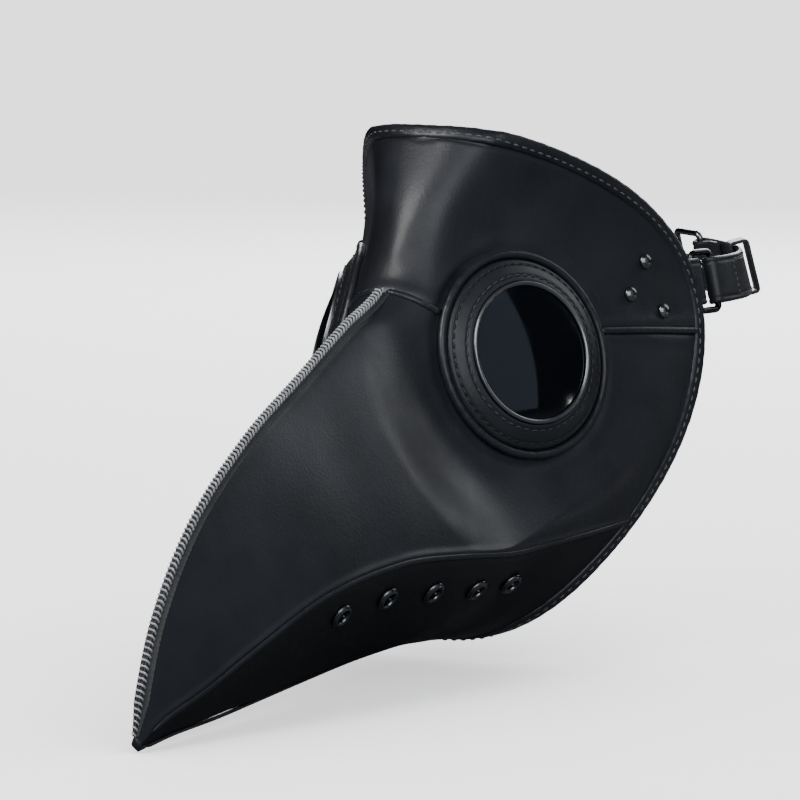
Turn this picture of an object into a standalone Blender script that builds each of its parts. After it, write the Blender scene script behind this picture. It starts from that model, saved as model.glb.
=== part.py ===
"""A beaked plague doctor mask, built as separate sewn, riveted and hinged pieces.

All sizes below are millimetres. The face looks toward -Y, the wearer's left is +X and up is +Z.
The origin is the middle of the forehead pad's flat inner face.
The skin of the mask is one smooth law, mask_point(station, around). The station runs from the beak
tip (0) to the rear edge (1), and around runs from the crown line (0) to the keel under the beak (1).
"""

import math

import bmesh
import bpy
from mathutils import Matrix, Vector

MM = 0.001

# Overall places, measured from the point between the brows where the ridge seam starts.
BROW_POINT = Vector((0, -46, -38))
LEATHER = 1.8
GAP = 0.3
SEAM_GAP = 0.18

# Crown line: station, how far ahead of the brow point, how far above it.
CROWN = (
    (0.00, 199, -138),
    (0.11, 182, -100),
    (0.22, 154, -69.5),
    (0.36, 112.5, -44.5),
    (0.50, 69, -26.5),
    (0.61, 32, -11.5),
    (0.70, 0, 0),
    (0.78, -10, 17),
    (0.88, -21, 36),
    (1.00, -36, 58),
)
# Keel line: station, how far ahead of the brow point, how far above it.
KEEL = (
    (0.00, 197, -143),
    (0.11, 171, -141),
    (0.22, 137, -140),
    (0.36, 99, -138),
    (0.50, 62, -136),
    (0.61, 30, -134.5),
    (0.70, 5, -134),
    (0.78, -14, -134),
    (0.88, -30, -135),
    (1.00, -46, -136),
)
# Cross sections: station, half width, place of the widest line, upper roundness, lower roundness,
# share of sine in the outline (0 gives a crease at the widest line), sweep back toward the head.
SECTIONS = (
    (0.00, 1.5, 0.600, 0.90, 0.90, 0.20, 0),
    (0.11, 8, 0.710, 0.90, 0.90, 0.30, 0),
    (0.22, 17, 0.650, 0.90, 0.90, 0.35, 0),
    (0.36, 27, 0.590, 0.85, 0.90, 0.40, 0),
    (0.50, 37, 0.600, 0.80, 0.85, 0.45, 4),
    (0.61, 45, 0.660, 0.72, 0.80, 0.50, 10),
    (0.70, 52, 0.690, 0.60, 0.72, 0.50, 20),
    (0.78, 58, 0.670, 0.50, 0.62, 0.60, 36),
    (0.88, 66, 0.620, 0.39, 0.48, 0.80, 58),
    (1.00, 75, 0.550, 0.31, 0.38, 1.00, 88),
)
SWEEP_PEAK = 0.68
SWEEP_SHARPNESS = 1.25
# Lower seam between side and under panels: station, place around the section.
LOWER_SEAM = (
    (0.00, 0.600),
    (0.11, 0.710),
    (0.22, 0.650),
    (0.36, 0.590),
    (0.50, 0.600),
    (0.61, 0.665),
    (0.70, 0.715),
    (0.78, 0.745),
    (0.88, 0.760),
    (1.00, 0.770),
)
# The brow seam leaves the crown at the brow point and reaches the rear edge at the temple.
BROW_STATION = 0.70
BROW_END = 0.42
TEMPLE_TOP = 0.20

# Eye: place of the lens axis on the left side, its direction, and the flat round seat for the ring.
EYE_CENTRE = Vector((38.2, 39.6, -25.7))
EYE_YAW = math.radians(64)
EYE_TILT = math.radians(15)
EYE_SEAT_RADIUS = 43
EYE_BLEND_RADIUS = 88
EYE_BLEND_NARROW = 62
EYE_NARROW_TURN = math.radians(138)
EYE_NARROW_SPREAD = math.radians(60)
EYE_HOLE_RADIUS = 29

RING_OUTER = 36.2
RING_INNER = 27.6
RING_HEIGHT = 6.2
RING_PIPING_RADIUS = 1.6
LENS_RADIUS = 25.9
LENS_DOME = 3.0
# Heights over the eye's plane, and radii, of the lens, its bezel and its retainer.
LENS_UNDERSIDE = 4.2
LENS_RIM = 6.0
BEZEL_OUTER = 27.3
BEZEL_BORE = 26.2
BEZEL_LIP = 25.3
BEZEL_BASE = 3.6
BEZEL_TOP = 8.0
RETAINER_BORE = 24.0
RETAINER_STEP = 25.7
RETAINER_SLEEVE = 28.4
RETAINER_FLANGE = 34.0
RETAINER_TOP = 3.9
RETAINER_SHOULDER = 3.3
RETAINER_THICKNESS = 1.5
EYE_SEGMENTS = 30
PIPING_SIDES = 6

# Ridge seam, keel seam and pipings.
RIDGE_CORD_RADIUS = 1.1
RIDGE_THREAD_RADIUS = 0.35
RIDGE_THREAD_CLEAR = 0.5
RIDGE_STITCH_PITCH = 7.0
RIDGE_END_STATION = 0.695
KEEL_CORD_RADIUS = 0.8
SEAM_PIPING_RADIUS = 1.0
BINDING_RADIUS = 1.5

# Vent eyelets, five per side, in the under panels.
EYELETS_PER_SIDE = 5
EYELET_FIRST_STATION = 0.42
EYELET_STATION_STEP = 0.0885
EYELET_DROP = 0.13
EYELET_DROP_TAPER = 0.10
EYELET_FLANGE = 5.0
EYELET_BORE = 2.6
EYELET_BARREL = 3.0
EYELET_HOLE = 3.3
CRIMP = 0.5
FASTENER_SEGMENTS = 12

# Temple rivets: station, place around.
RIVETS = (
    (0.956, 0.244),
    (0.919, 0.281),
    (0.950, 0.344),
)
RIVET_CAP = 3.0
RIVET_CAP_HEIGHT = 1.5
RIVET_SHANK = 1.1
RIVET_HOLE = 1.5

# Head strap. Arc lengths run round the head from a strap's hinge bar.
STRAP_HALF_WIDTH = 9
STRAP_LEATHER = 1.8
STRAP_TILT = math.radians(14)
STRAP_HEIGHT = -5
TAB_DEPTH = 4.8
TAB_FRONT_STATION = 0.895
TAB_HALF_WIDTH = 14
TAB_SAG = 1.4
TAB_TAPER_STATION = 0.972
TAB_REACH = 9
LOOP_WIRE = 1.3
LOOP_LENGTH = 11
LOOP_HALF_WIDTH = 11.3
LOOP_CORNER = 2.4
FOLD_CLEAR = 0.35
FOLD_RADIUS = LOOP_WIRE + FOLD_CLEAR + STRAP_LEATHER / 2
LEAF_LEAN = math.radians(22)
# Inner leaves behind the bars: distance from the bar, depth under the outer leaf, share of the lean.
STRAP_LEAF = (
    (2.5, 5.0, 0.5),
    (6.0, 3.2, 1.0),
    (8.5, 2.35, 0.25),
    (14.0, 2.3, 0.0),
)
TAB_LEAF = STRAP_LEAF[:2]
HEAD_BACK = 226
HEAD_ROUNDNESS = 112
LEFT_STRAP_LENGTH = 78
BUCKLE_LENGTH = 17
TONGUE_CLEAR = 8
PRONG_WIRE = 0.9
PRONG_RADIUS = 2.5
PRONG_REACH = 19.5
PRONG_SLOT_HALF = 1.6
PRONG_SLOT_ENDS = (-7.5, 4.6)
PRONG_SLOT_FACES = (-7.5, 2.2)
KEEPER_PLACE = 46
KEEPER_HALF_WIDTH = 4
KEEPER_LEATHER = 1.4
KEEPER_CORNER = 1.0
# Room between the keeper and the strap: beside it, inside it, and outside it for the tongue.
KEEPER_SIDE_ROOM = 0.7
KEEPER_INNER_ROOM = 1.2
KEEPER_OUTER_ROOM = 2.6
# The rounded tongue's last steps: distance from its tip, half width.
TONGUE_STEPS = ((6, 8.2), (3, 6.2), (0, 2.5))
TONGUE_TAPER = 9
STRAP_HOLES = 5
STRAP_HOLE_RADIUS = 1.3
STRAP_HOLE_STEP = 10
STRAP_HOLE_FIRST = 18

# Forehead pad.
PAD_HALF_WIDTH = 23
PAD_HALF_HEIGHT = 14
PAD_EDGE_DEPTH = 2.6
PAD_DEPTH = 10.8
PAD_LEAN = 0.55

BLACK_LEATHER = ((0.022, 0.024, 0.028), 0.45, 0.0)
DARK_LEATHER = ((0.014, 0.015, 0.018), 0.55, 0.0)
PALE_THREAD = ((0.42, 0.43, 0.45), 0.8, 0.0)
BLACK_METAL = ((0.03, 0.03, 0.035), 0.3, 1.0)
STEEL = ((0.35, 0.35, 0.37), 0.3, 1.0)
DARK_GLASS = ((0.006, 0.007, 0.010), 0.08, 0.0)
BLACK_PLASTIC = ((0.02, 0.02, 0.022), 0.35, 0.0)
GREY_FOAM = ((0.05, 0.05, 0.055), 0.95, 0.0)


def clear_scene():
    for obj in list(bpy.data.objects):
        bpy.data.objects.remove(obj, do_unlink=True)


# ---------------------------------------------------------------- numbers and the skin law


def along_rows(rows, station):
    """Smooth values between the rows, each of which starts with its station."""
    last = len(rows) - 1
    index = 0
    while index < last - 1 and station > rows[index + 1][0]:
        index += 1
    low, high = rows[index], rows[index + 1]
    step = high[0] - low[0]
    part = (station - low[0]) / step
    values = []
    for column in range(1, len(low)):
        slope_low = row_slope(rows, index, column) * step
        slope_high = row_slope(rows, index + 1, column) * step
        values.append(
            (2 * part**3 - 3 * part**2 + 1) * low[column]
            + (part**3 - 2 * part**2 + part) * slope_low
            + (3 * part**2 - 2 * part**3) * high[column]
            + (part**3 - part**2) * slope_high
        )
    return values


def row_slope(rows, index, column):
    before = rows[max(index - 1, 0)]
    after = rows[min(index + 1, len(rows) - 1)]
    return (after[column] - before[column]) / (after[0] - before[0])


def free_point(station, around):
    """A point of the left side's skin before the eye seat is pressed flat."""
    crown_ahead, crown_up = along_rows(CROWN, station)
    keel_ahead, keel_up = along_rows(KEEL, station)
    width, widest, upper, lower, sine, sweep = along_rows(SECTIONS, station)
    if around < widest:
        share = around / widest
        roundness = upper
    else:
        share = (1 - around) / (1 - widest)
        roundness = lower
    outline = (1 - sine) * share**roundness + sine * math.sin(math.pi / 2 * share) ** roundness
    back = sweep * max(math.sin(math.pi * around**SWEEP_PEAK), 0) ** SWEEP_SHARPNESS
    ahead = crown_ahead + (keel_ahead - crown_ahead) * around - back
    up = crown_up + (keel_up - crown_up) * around
    return Vector((width * outline, -ahead, up))


def eye_axis():
    return Vector(
        (
            math.sin(EYE_YAW) * math.cos(EYE_TILT),
            -math.cos(EYE_YAW) * math.cos(EYE_TILT),
            math.sin(EYE_TILT),
        )
    )


def blend_radius(offset, axis):
    """How far the eye seat's flatness reaches: less on the side of the ridge than elsewhere."""
    first = Vector((0, 0, 1)).cross(axis).normalized()
    turn = math.atan2(offset.dot(axis.cross(first)), offset.dot(first)) - EYE_NARROW_TURN
    away = abs((turn + math.pi) % (2 * math.pi) - math.pi)
    share = min(away / EYE_NARROW_SPREAD, 1)
    return EYE_BLEND_NARROW + (EYE_BLEND_RADIUS - EYE_BLEND_NARROW) * smooth_step(share)


def smooth_step(share):
    share = min(max(share, 0), 1)
    return share * share * (3 - 2 * share)


def mask_point(station, around):
    """A point of the skin, with the eye seat flat. Outside 0 to 1 the section carries on mirrored."""
    mirrored = around < 0 or around > 1
    if around < 0:
        around = -around
    if around > 1:
        around = 2 - around
    point = free_point(min(max(station, 0), 1), around)
    axis = eye_axis()
    offset = point - EYE_CENTRE
    lift = offset.dot(axis)
    radius = (offset - axis * lift).length
    end = blend_radius(offset, axis)
    point -= axis * lift * smooth_step((end - radius) / (end - EYE_SEAT_RADIUS))
    if mirrored:
        point.x = -point.x
    return point + BROW_POINT


def skin_normal(station, around):
    step = 0.012
    low = max(station - step, 0)
    high = min(station + step, 1)
    along = mask_point(high, around) - mask_point(low, around)
    across = mask_point(station, around + step) - mask_point(station, around - step)
    return across.cross(along).normalized()


def on_side(point, side):
    return Vector((point.x * side, point.y, point.z))


def brow_around(station):
    """Where the brow seam crosses a section behind the brow point."""
    share = max(station - BROW_STATION, 0) / (1 - BROW_STATION)
    return BROW_END * math.sqrt(share)


def seam_around(station):
    return along_rows(LOWER_SEAM, station)[0]


# ---------------------------------------------------------------- mesh helpers


def finish(name, vertices, faces, look, side=1, crease=35):
    """Makes the named object in metres, mirrored for the wearer's right when side is -1."""
    mesh = bpy.data.meshes.new(name)
    mesh.from_pydata([on_side(Vector(v), side) * MM for v in vertices], [], faces)
    work = bmesh.new()
    work.from_mesh(mesh)
    bmesh.ops.recalc_face_normals(work, faces=work.faces)
    if work.calc_volume(signed=True) < 0:
        bmesh.ops.reverse_faces(work, faces=work.faces)
    work.to_mesh(mesh)
    work.free()
    mesh.shade_smooth()
    mesh.set_sharp_from_angle(angle=math.radians(crease))
    colour, roughness, metallic = look
    material = bpy.data.materials.new(name)
    material.use_nodes = True
    shader = material.node_tree.nodes["Principled BSDF"]
    shader.inputs["Base Color"].default_value = (*colour, 1)
    shader.inputs["Roughness"].default_value = roughness
    shader.inputs["Metallic"].default_value = metallic
    mesh.materials.append(material)
    obj = bpy.data.objects.new(name, mesh)
    bpy.context.scene.collection.objects.link(obj)
    return obj


def grid_faces(columns, rows, start=0, wrap=False):
    faces = []
    last = columns if wrap else columns - 1
    for i in range(last):
        for j in range(rows - 1):
            a = start + i * rows + j
            b = start + ((i + 1) % columns) * rows + j
            faces.append((a, b, b + 1, a + 1))
    return faces


def shell(name, stations, arounds, look, side=1):
    """A leather panel of even thickness over a grid of places, closed round its edge."""
    columns = len(stations)
    rows = len(stations[0])
    outer = [[None] * rows for _ in range(columns)]
    inner = [[None] * rows for _ in range(columns)]
    for i in range(columns):
        for j in range(rows):
            station, around = stations[i][j], arounds[i][j]
            thin = LEATHER * min(0.3 + station / 0.1, 1)
            point = mask_point(station, around)
            outer[i][j] = point
            inner[i][j] = point - skin_normal(station, around) * thin
    for layer in (outer, inner):
        draw_in_border(layer, columns, rows)
    vertices = []
    for layer in (outer, inner):
        for column in layer:
            vertices.extend(column)
    count = columns * rows
    faces = grid_faces(columns, rows)
    faces += [tuple(reversed(face)) for face in grid_faces(columns, rows, count)]
    border = [i * rows for i in range(columns)]
    border += [(columns - 1) * rows + j for j in range(1, rows)]
    border += [i * rows + rows - 1 for i in range(columns - 2, -1, -1)]
    border += [j for j in range(rows - 2, 0, -1)]
    for k, a in enumerate(border):
        b = border[(k + 1) % len(border)]
        faces.append((a, b, b + count, a + count))
    return finish(name, vertices, faces, look, side)


def draw_in_border(layer, columns, rows):
    """Moves the long borders inward by half the seam gap, so neighbouring panels stay apart."""
    for i in range(columns):
        for j, beside in ((0, 1), (rows - 1, rows - 2)):
            shift = (layer[i][beside] - layer[i][j]).normalized()
            layer[i][j] = layer[i][j] + shift * SEAM_GAP


def keep_off_middle(obj, side):
    """Holds a side panel on its own side of the middle plane."""
    limit = SEAM_GAP * MM
    for vertex in obj.data.vertices:
        vertex.co.x = side * max(side * vertex.co.x, limit)


def revolve(name, profile, segments, place, look, side=1):
    """A closed profile of (radius, height) turned round the local Z axis of place."""
    vertices = []
    for k in range(segments):
        angle = 2 * math.pi * k / segments
        for radius, height in profile:
            local = Vector((radius * math.cos(angle), radius * math.sin(angle), height))
            vertices.append(place @ local)
    faces = []
    count = len(profile)
    for k in range(segments):
        for j in range(count):
            a = k * count + j
            b = ((k + 1) % segments) * count + j
            a_next = k * count + (j + 1) % count
            b_next = ((k + 1) % segments) * count + (j + 1) % count
            faces.append((a, b, b_next, a_next))
    return finish(name, vertices, faces, look, side)


def turned_solid(name, profile, segments, place, look, side=1):
    """A solid whose profile of (radius, height) starts and ends on the local Z axis of place."""
    vertices = [place @ Vector((0, 0, profile[0][1])), place @ Vector((0, 0, profile[-1][1]))]
    rings = profile[1:-1]
    for radius, height in rings:
        for k in range(segments):
            angle = 2 * math.pi * k / segments
            local = Vector((radius * math.cos(angle), radius * math.sin(angle), height))
            vertices.append(place @ local)
    faces = []
    for k in range(segments):
        k_next = (k + 1) % segments
        faces.append((0, 2 + k, 2 + k_next))
        end = 2 + (len(rings) - 1) * segments
        faces.append((1, end + k_next, end + k))
        for j in range(len(rings) - 1):
            low = 2 + j * segments
            high = low + segments
            faces.append((low + k, high + k, high + k_next, low + k_next))
    return finish(name, vertices, faces, look, side)


def tube(name, points, radius, sides, look, closed=False, side=1, up=Vector((1, 0, 0))):
    """A round cord along the points."""
    count = len(points)
    vertices = []
    for i, point in enumerate(points):
        before = points[i - 1] if closed or i > 0 else point
        after = points[(i + 1) % count] if closed or i < count - 1 else point
        tangent = (after - before).normalized()
        first = up.cross(tangent)
        if first.length < 0.05:
            first = Vector((0.3, 1, 0.2)).cross(tangent)
        first.normalize()
        second = tangent.cross(first)
        up = tangent.cross(first) * -1 if up.dot(second) < 0 else second
        for k in range(sides):
            angle = 2 * math.pi * k / sides
            vertices.append(
                point + first * radius * math.cos(angle) + up * radius * math.sin(angle)
            )
    faces = []
    spans = count if closed else count - 1
    for i in range(spans):
        for k in range(sides):
            a = i * sides + k
            a_next = i * sides + (k + 1) % sides
            b = ((i + 1) % count) * sides + k
            b_next = ((i + 1) % count) * sides + (k + 1) % sides
            faces.append((a, a_next, b_next, b))
    if not closed:
        faces.append(tuple(range(sides)))
        faces.append(tuple((count - 1) * sides + k for k in reversed(range(sides))))
    return finish(name, vertices, faces, look, side, crease=60)


def band(name, path, look, closed=False, side=1):
    """A flat strip. Each path step is (centre, outward, width direction, half width, thickness)."""
    vertices = []
    for centre, outward, across, half_width, thickness in path:
        for u, v in ((-1, -1), (1, -1), (1, 1), (-1, 1)):
            vertices.append(centre + outward * v * thickness / 2 + across * u * half_width)
    count = len(path)
    faces = []
    spans = count if closed else count - 1
    for i in range(spans):
        for k in range(4):
            a = i * 4 + k
            a_next = i * 4 + (k + 1) % 4
            b = ((i + 1) % count) * 4 + k
            b_next = ((i + 1) % count) * 4 + (k + 1) % 4
            faces.append((a, a_next, b_next, b))
    if not closed:
        faces.append((0, 1, 2, 3))
        last = (count - 1) * 4
        faces.append((last + 3, last + 2, last + 1, last))
    return finish(name, vertices, faces, look, side)


def frame_at(origin, axis, along=Vector((0, 0, 1))):
    """A placing matrix with local Z on the axis and local Y as near to along as it can be."""
    z = axis.normalized()
    x = along.cross(z).normalized()
    y = z.cross(x)
    turn = Matrix((x, y, z)).transposed().to_4x4()
    return Matrix.Translation(origin) @ turn


def mirrored_place(place, side):
    """The same placing seen on the other side of the middle plane."""
    flip = Matrix.Diagonal((side, 1, 1, 1))
    return flip @ place @ flip


def side_name(side):
    return "left" if side > 0 else "right"


def cut_holes(obj, places_and_radii, depth, side):
    """Bores round holes through a panel with one hidden cutter object."""
    vertices = []
    faces = []
    segments = 20
    for place, radius in places_and_radii:
        start = len(vertices)
        for height in (-depth, depth):
            for k in range(segments):
                angle = 2 * math.pi * k / segments
                local = Vector((radius * math.cos(angle), radius * math.sin(angle), height))
                vertices.append(place @ local)
        for k in range(segments):
            a = start + k
            b = start + (k + 1) % segments
            faces.append((a, b, b + segments, a + segments))
        faces.append(tuple(start + k for k in reversed(range(segments))))
        faces.append(tuple(start + segments + k for k in range(segments)))
    cutter = finish(obj.name + "_cutter", vertices, faces, DARK_LEATHER, side)
    cutter.hide_render = True
    cutter.display_type = "WIRE"
    cut = obj.modifiers.new("holes", "BOOLEAN")
    cut.operation = "DIFFERENCE"
    cut.solver = "EXACT"
    cut.object = cutter


# ---------------------------------------------------------------- leather panels


def section_stations():
    """Stations of the side and under panels, closer together behind the brow point."""
    front = [BROW_STATION * i / 18 for i in range(18)]
    rear = [BROW_STATION + (1 - BROW_STATION) * (k / 14) ** 2 for k in range(15)]
    return front + rear


def eye_place():
    return frame_at(EYE_CENTRE + BROW_POINT, eye_axis())


def beak_panel(side):
    rows = 13
    stations = []
    arounds = []
    for station in section_stations():
        top = brow_around(station)
        bottom = seam_around(station)
        stations.append([station] * rows)
        arounds.append([top + (bottom - top) * (j / (rows - 1)) ** 1.3 for j in range(rows)])
    panel = shell("beak_panel_" + side_name(side), stations, arounds, BLACK_LEATHER, side)
    keep_off_middle(panel, side)
    cut_holes(panel, [(eye_place(), EYE_HOLE_RADIUS)], 12, side)


def under_panel(side):
    rows = 7
    stations = []
    arounds = []
    for station in section_stations():
        top = seam_around(station)
        stations.append([station] * rows)
        arounds.append([top + (1 - top) * j / (rows - 1) for j in range(rows)])
    name = "under_beak_panel_" + side_name(side)
    panel = shell(name, stations, arounds, DARK_LEATHER, side)
    keep_off_middle(panel, side)
    cut_holes(panel, [(place, EYELET_HOLE) for place in eyelet_places()], 6, side)


def forehead_panel():
    half = 12
    rows = 9
    stations = []
    arounds = []
    for i in range(-half, half + 1):
        share = abs(i) / half
        sign = -1 if i < 0 else 1
        brow = (BROW_STATION + (1 - BROW_STATION) * share**2, BROW_END * share)
        top = (1.0, TEMPLE_TOP * share**2)
        stations.append([brow[0] + (top[0] - brow[0]) * j / (rows - 1) for j in range(rows)])
        arounds.append(
            [sign * (brow[1] + (top[1] - brow[1]) * j / (rows - 1)) for j in range(rows)]
        )
    panel = shell("forehead_panel", stations, arounds, BLACK_LEATHER)
    holes = []
    for side in (1, -1):
        holes.append((mirrored_place(eye_place(), side), EYE_HOLE_RADIUS))
        for place in rivet_places():
            holes.append((mirrored_place(place, side), RIVET_HOLE))
    cut_holes(panel, holes, 8, 1)


# ---------------------------------------------------------------- seams


def ridge_points(lift, count):
    points = []
    for i in range(count):
        station = RIDGE_END_STATION * i / (count - 1)
        point = mask_point(station, 0)
        point.x = 0
        points.append(point + skin_normal(station, 0) * lift)
    return points


def ridge_seam():
    """The rolled edge on top of the beak and the pale thread wound over it."""
    lift = 2 * GAP + RIDGE_CORD_RADIUS + 2 * RIDGE_THREAD_RADIUS + RIDGE_THREAD_CLEAR
    cord = ridge_points(lift, 32)
    tube("ridge_welt", cord, RIDGE_CORD_RADIUS, 6, BLACK_LEATHER)
    path = ridge_points(lift, 400)
    length = sum((b - a).length for a, b in zip(path, path[1:]))
    turns = int(length / RIDGE_STITCH_PITCH)
    steps = 6
    radius = RIDGE_CORD_RADIUS + RIDGE_THREAD_RADIUS + RIDGE_THREAD_CLEAR
    thread = []
    for k in range(turns * steps + 1):
        place = k / (turns * steps) * (len(path) - 1)
        low = min(int(place), len(path) - 2)
        point = path[low].lerp(path[low + 1], place - low)
        tangent = (path[low + 1] - path[low]).normalized()
        sideways = Vector((1, 0, 0))
        up = sideways.cross(tangent) * -1
        angle = 2 * math.pi * k / steps
        thread.append(point + (sideways * math.cos(angle) + up * math.sin(angle)) * radius)
    tube("ridge_stitching", thread, RIDGE_THREAD_RADIUS, 4, PALE_THREAD, up=Vector((0, 0.3, 1)))


def keel_seam():
    points = []
    count = 30
    for i in range(count):
        station = 0.02 + 0.97 * i / (count - 1)
        point = mask_point(station, 1)
        point.x = 0
        points.append(point + skin_normal(station, 1) * (KEEL_CORD_RADIUS + GAP))
    tube("keel_welt", points, KEEL_CORD_RADIUS, 6, DARK_LEATHER)


def brow_points(low, high, count):
    points = []
    for i in range(count):
        share = low + (high - low) * i / (count - 1)
        station = BROW_STATION + (1 - BROW_STATION) * share**2
        around = BROW_END * share
        lift = SEAM_PIPING_RADIUS + GAP
        points.append(mask_point(station, around) + skin_normal(station, around) * lift)
    return points


def brow_piping(side):
    """The raised brow seam, broken where it runs under the eye ring."""
    axis = eye_axis()
    clear = RING_OUTER + 2 * RING_PIPING_RADIUS + 2.2
    shares = []
    for i in range(201):
        share = 0.03 + 0.96 * i / 200
        offset = brow_points(share, share + 0.001, 2)[0] - EYE_CENTRE - BROW_POINT
        radius = (offset - axis * offset.dot(axis)).length
        shares.append((share, radius > clear))
    front = [share for share, free in shares if free and share < 0.5]
    rear = [share for share, free in shares if free and share > 0.5]
    name = "brow_piping_" + side_name(side)
    points = brow_points(front[0], front[-1], 12)
    tube(name, points, SEAM_PIPING_RADIUS, 6, BLACK_LEATHER, side=side)
    name = "temple_piping_" + side_name(side)
    points = brow_points(rear[0], rear[-1], 8)
    tube(name, points, SEAM_PIPING_RADIUS, 6, BLACK_LEATHER, side=side)


def lower_seam_piping(side):
    points = []
    count = 34
    for i in range(count):
        station = 0.03 + 0.95 * i / (count - 1)
        around = seam_around(station)
        lift = SEAM_PIPING_RADIUS + GAP
        points.append(mask_point(station, around) + skin_normal(station, around) * lift)
    name = "lower_seam_piping_" + side_name(side)
    tube(name, points, SEAM_PIPING_RADIUS, 6, BLACK_LEATHER, side=side, up=Vector((0, 0, 1)))


def edge_binding():
    """The rolled binding round the whole rear edge."""
    half = []
    count = 30
    step = 0.004
    for i in range(count + 1):
        share = i / count
        around = share**2 * (3 - 2 * share) if share > 0.5 else 2 * share**2
        normal = skin_normal(1, around)
        rim = mask_point(1, around + step) - mask_point(1, around - step)
        outward = normal.cross(rim).normalized()
        if outward.dot(mask_point(1, around) - mask_point(0.97, around)) < 0:
            outward = outward * -1
        middle = mask_point(1, around) - normal * LEATHER / 2
        half.append(middle + outward * (BINDING_RADIUS + GAP + 0.35))
    other = [on_side(point, -1) for point in reversed(half[1:-1])]
    for end in (half[0], half[-1]):
        end.x = 0
    tube("edge_binding", half + other, BINDING_RADIUS, 6, DARK_LEATHER, closed=True)


# ---------------------------------------------------------------- eyes


def eye_parts(side):
    place = eye_place()
    tag = side_name(side)
    piping_centre = RING_OUTER + 0.5 + RING_PIPING_RADIUS
    piping = []
    for k in range(PIPING_SIDES):
        angle = 2 * math.pi * k / PIPING_SIDES
        piping.append(
            (
                piping_centre + RING_PIPING_RADIUS * math.cos(angle),
                GAP + RING_PIPING_RADIUS + RING_PIPING_RADIUS * math.sin(angle),
            )
        )
    revolve("eye_piping_" + tag, piping, EYE_SEGMENTS, place, BLACK_LEATHER, side)
    washer = (
        (RING_OUTER, GAP),
        (RING_OUTER, 2.4),
        (RING_OUTER - 1.4, 3.2),
        (RING_INNER + 0.6, RING_HEIGHT),
        (RING_INNER, RING_HEIGHT),
        (RING_INNER, 4.2),
        (RING_OUTER - 1.8, GAP),
    )
    revolve("eye_ring_" + tag, washer, EYE_SEGMENTS, place, BLACK_LEATHER, side)
    bezel = (
        (BEZEL_OUTER, BEZEL_BASE),
        (BEZEL_OUTER, BEZEL_TOP - 0.6),
        (BEZEL_OUTER - 0.7, BEZEL_TOP),
        (BEZEL_LIP + 0.2, BEZEL_TOP - 0.2),
        (BEZEL_LIP, BEZEL_TOP - 1.0),
        (BEZEL_BORE, LENS_RIM + 0.6),
        (BEZEL_BORE, BEZEL_BASE),
    )
    revolve("lens_bezel_" + tag, bezel, EYE_SEGMENTS, place, BLACK_METAL, side)
    lens = [(0, LENS_UNDERSIDE), (LENS_RADIUS, LENS_UNDERSIDE), (LENS_RADIUS, LENS_RIM)]
    rings = 5
    for k in range(1, rings):
        radius = LENS_RADIUS * (1 - k / rings)
        lens.append((radius, LENS_RIM + LENS_DOME * (1 - (radius / LENS_RADIUS) ** 2)))
    lens.append((0, LENS_RIM + LENS_DOME))
    turned_solid("lens_" + tag, lens, EYE_SEGMENTS, place, DARK_GLASS, side)
    flange = -LEATHER - GAP - 0.1
    retainer = (
        (RETAINER_BORE, RETAINER_TOP),
        (RETAINER_STEP, RETAINER_TOP),
        (RETAINER_STEP, RETAINER_SHOULDER),
        (RETAINER_SLEEVE, RETAINER_SHOULDER),
        (RETAINER_SLEEVE, flange),
        (RETAINER_FLANGE, flange),
        (RETAINER_FLANGE, flange - RETAINER_THICKNESS),
        (RETAINER_BORE, flange - RETAINER_THICKNESS),
    )
    revolve("lens_retainer_" + tag, retainer, EYE_SEGMENTS, place, BLACK_PLASTIC, side)


# ---------------------------------------------------------------- eyelets and rivets


def surface_place(station, around):
    return frame_at(mask_point(station, around), skin_normal(station, around))


def eyelet_places():
    places = []
    for k in range(EYELETS_PER_SIDE):
        station = EYELET_FIRST_STATION + EYELET_STATION_STEP * k
        drop = EYELET_DROP - EYELET_DROP_TAPER * (station - EYELET_FIRST_STATION)
        places.append(surface_place(station, seam_around(station) + drop))
    return places


def rivet_places():
    return [surface_place(station, around) for station, around in RIVETS]


def vent_eyelets(side):
    inside = -LEATHER - 0.7
    profile = (
        (EYELET_BORE, inside - CRIMP),
        (EYELET_BORE, 1.2),
        (EYELET_BORE + 0.8, 1.5),
        (EYELET_FLANGE - 0.5, 1.1),
        (EYELET_FLANGE, 0.6),
        (EYELET_BARREL, 0.6),
        (EYELET_BARREL, inside),
        (EYELET_FLANGE - 0.8, inside),
        (EYELET_FLANGE - 0.8, inside - CRIMP),
    )
    for number, place in enumerate(eyelet_places(), 1):
        name = f"vent_eyelet_{side_name(side)}_{number}"
        revolve(name, profile, FASTENER_SEGMENTS, place, BLACK_METAL, side)


def temple_rivets(side):
    base = 0.45
    tail = TAB_DEPTH + STRAP_LEATHER / 2 + TAB_SAG
    profile = (
        (0, -tail - 1.2),
        (RIVET_CAP - 0.4, -tail - 1.2),
        (RIVET_CAP - 0.4, -tail),
        (RIVET_SHANK, -tail),
        (RIVET_SHANK, base),
        (RIVET_CAP, base),
        (RIVET_CAP - 0.2, base + 0.6),
        (RIVET_CAP * 0.55, base + RIVET_CAP_HEIGHT - 0.2),
        (0, base + RIVET_CAP_HEIGHT),
    )
    for number, place in enumerate(rivet_places(), 1):
        name = f"temple_rivet_{side_name(side)}_{number}"
        turned_solid(name, profile, FASTENER_SEGMENTS, place, STEEL, side)


# ---------------------------------------------------------------- forehead pad


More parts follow.
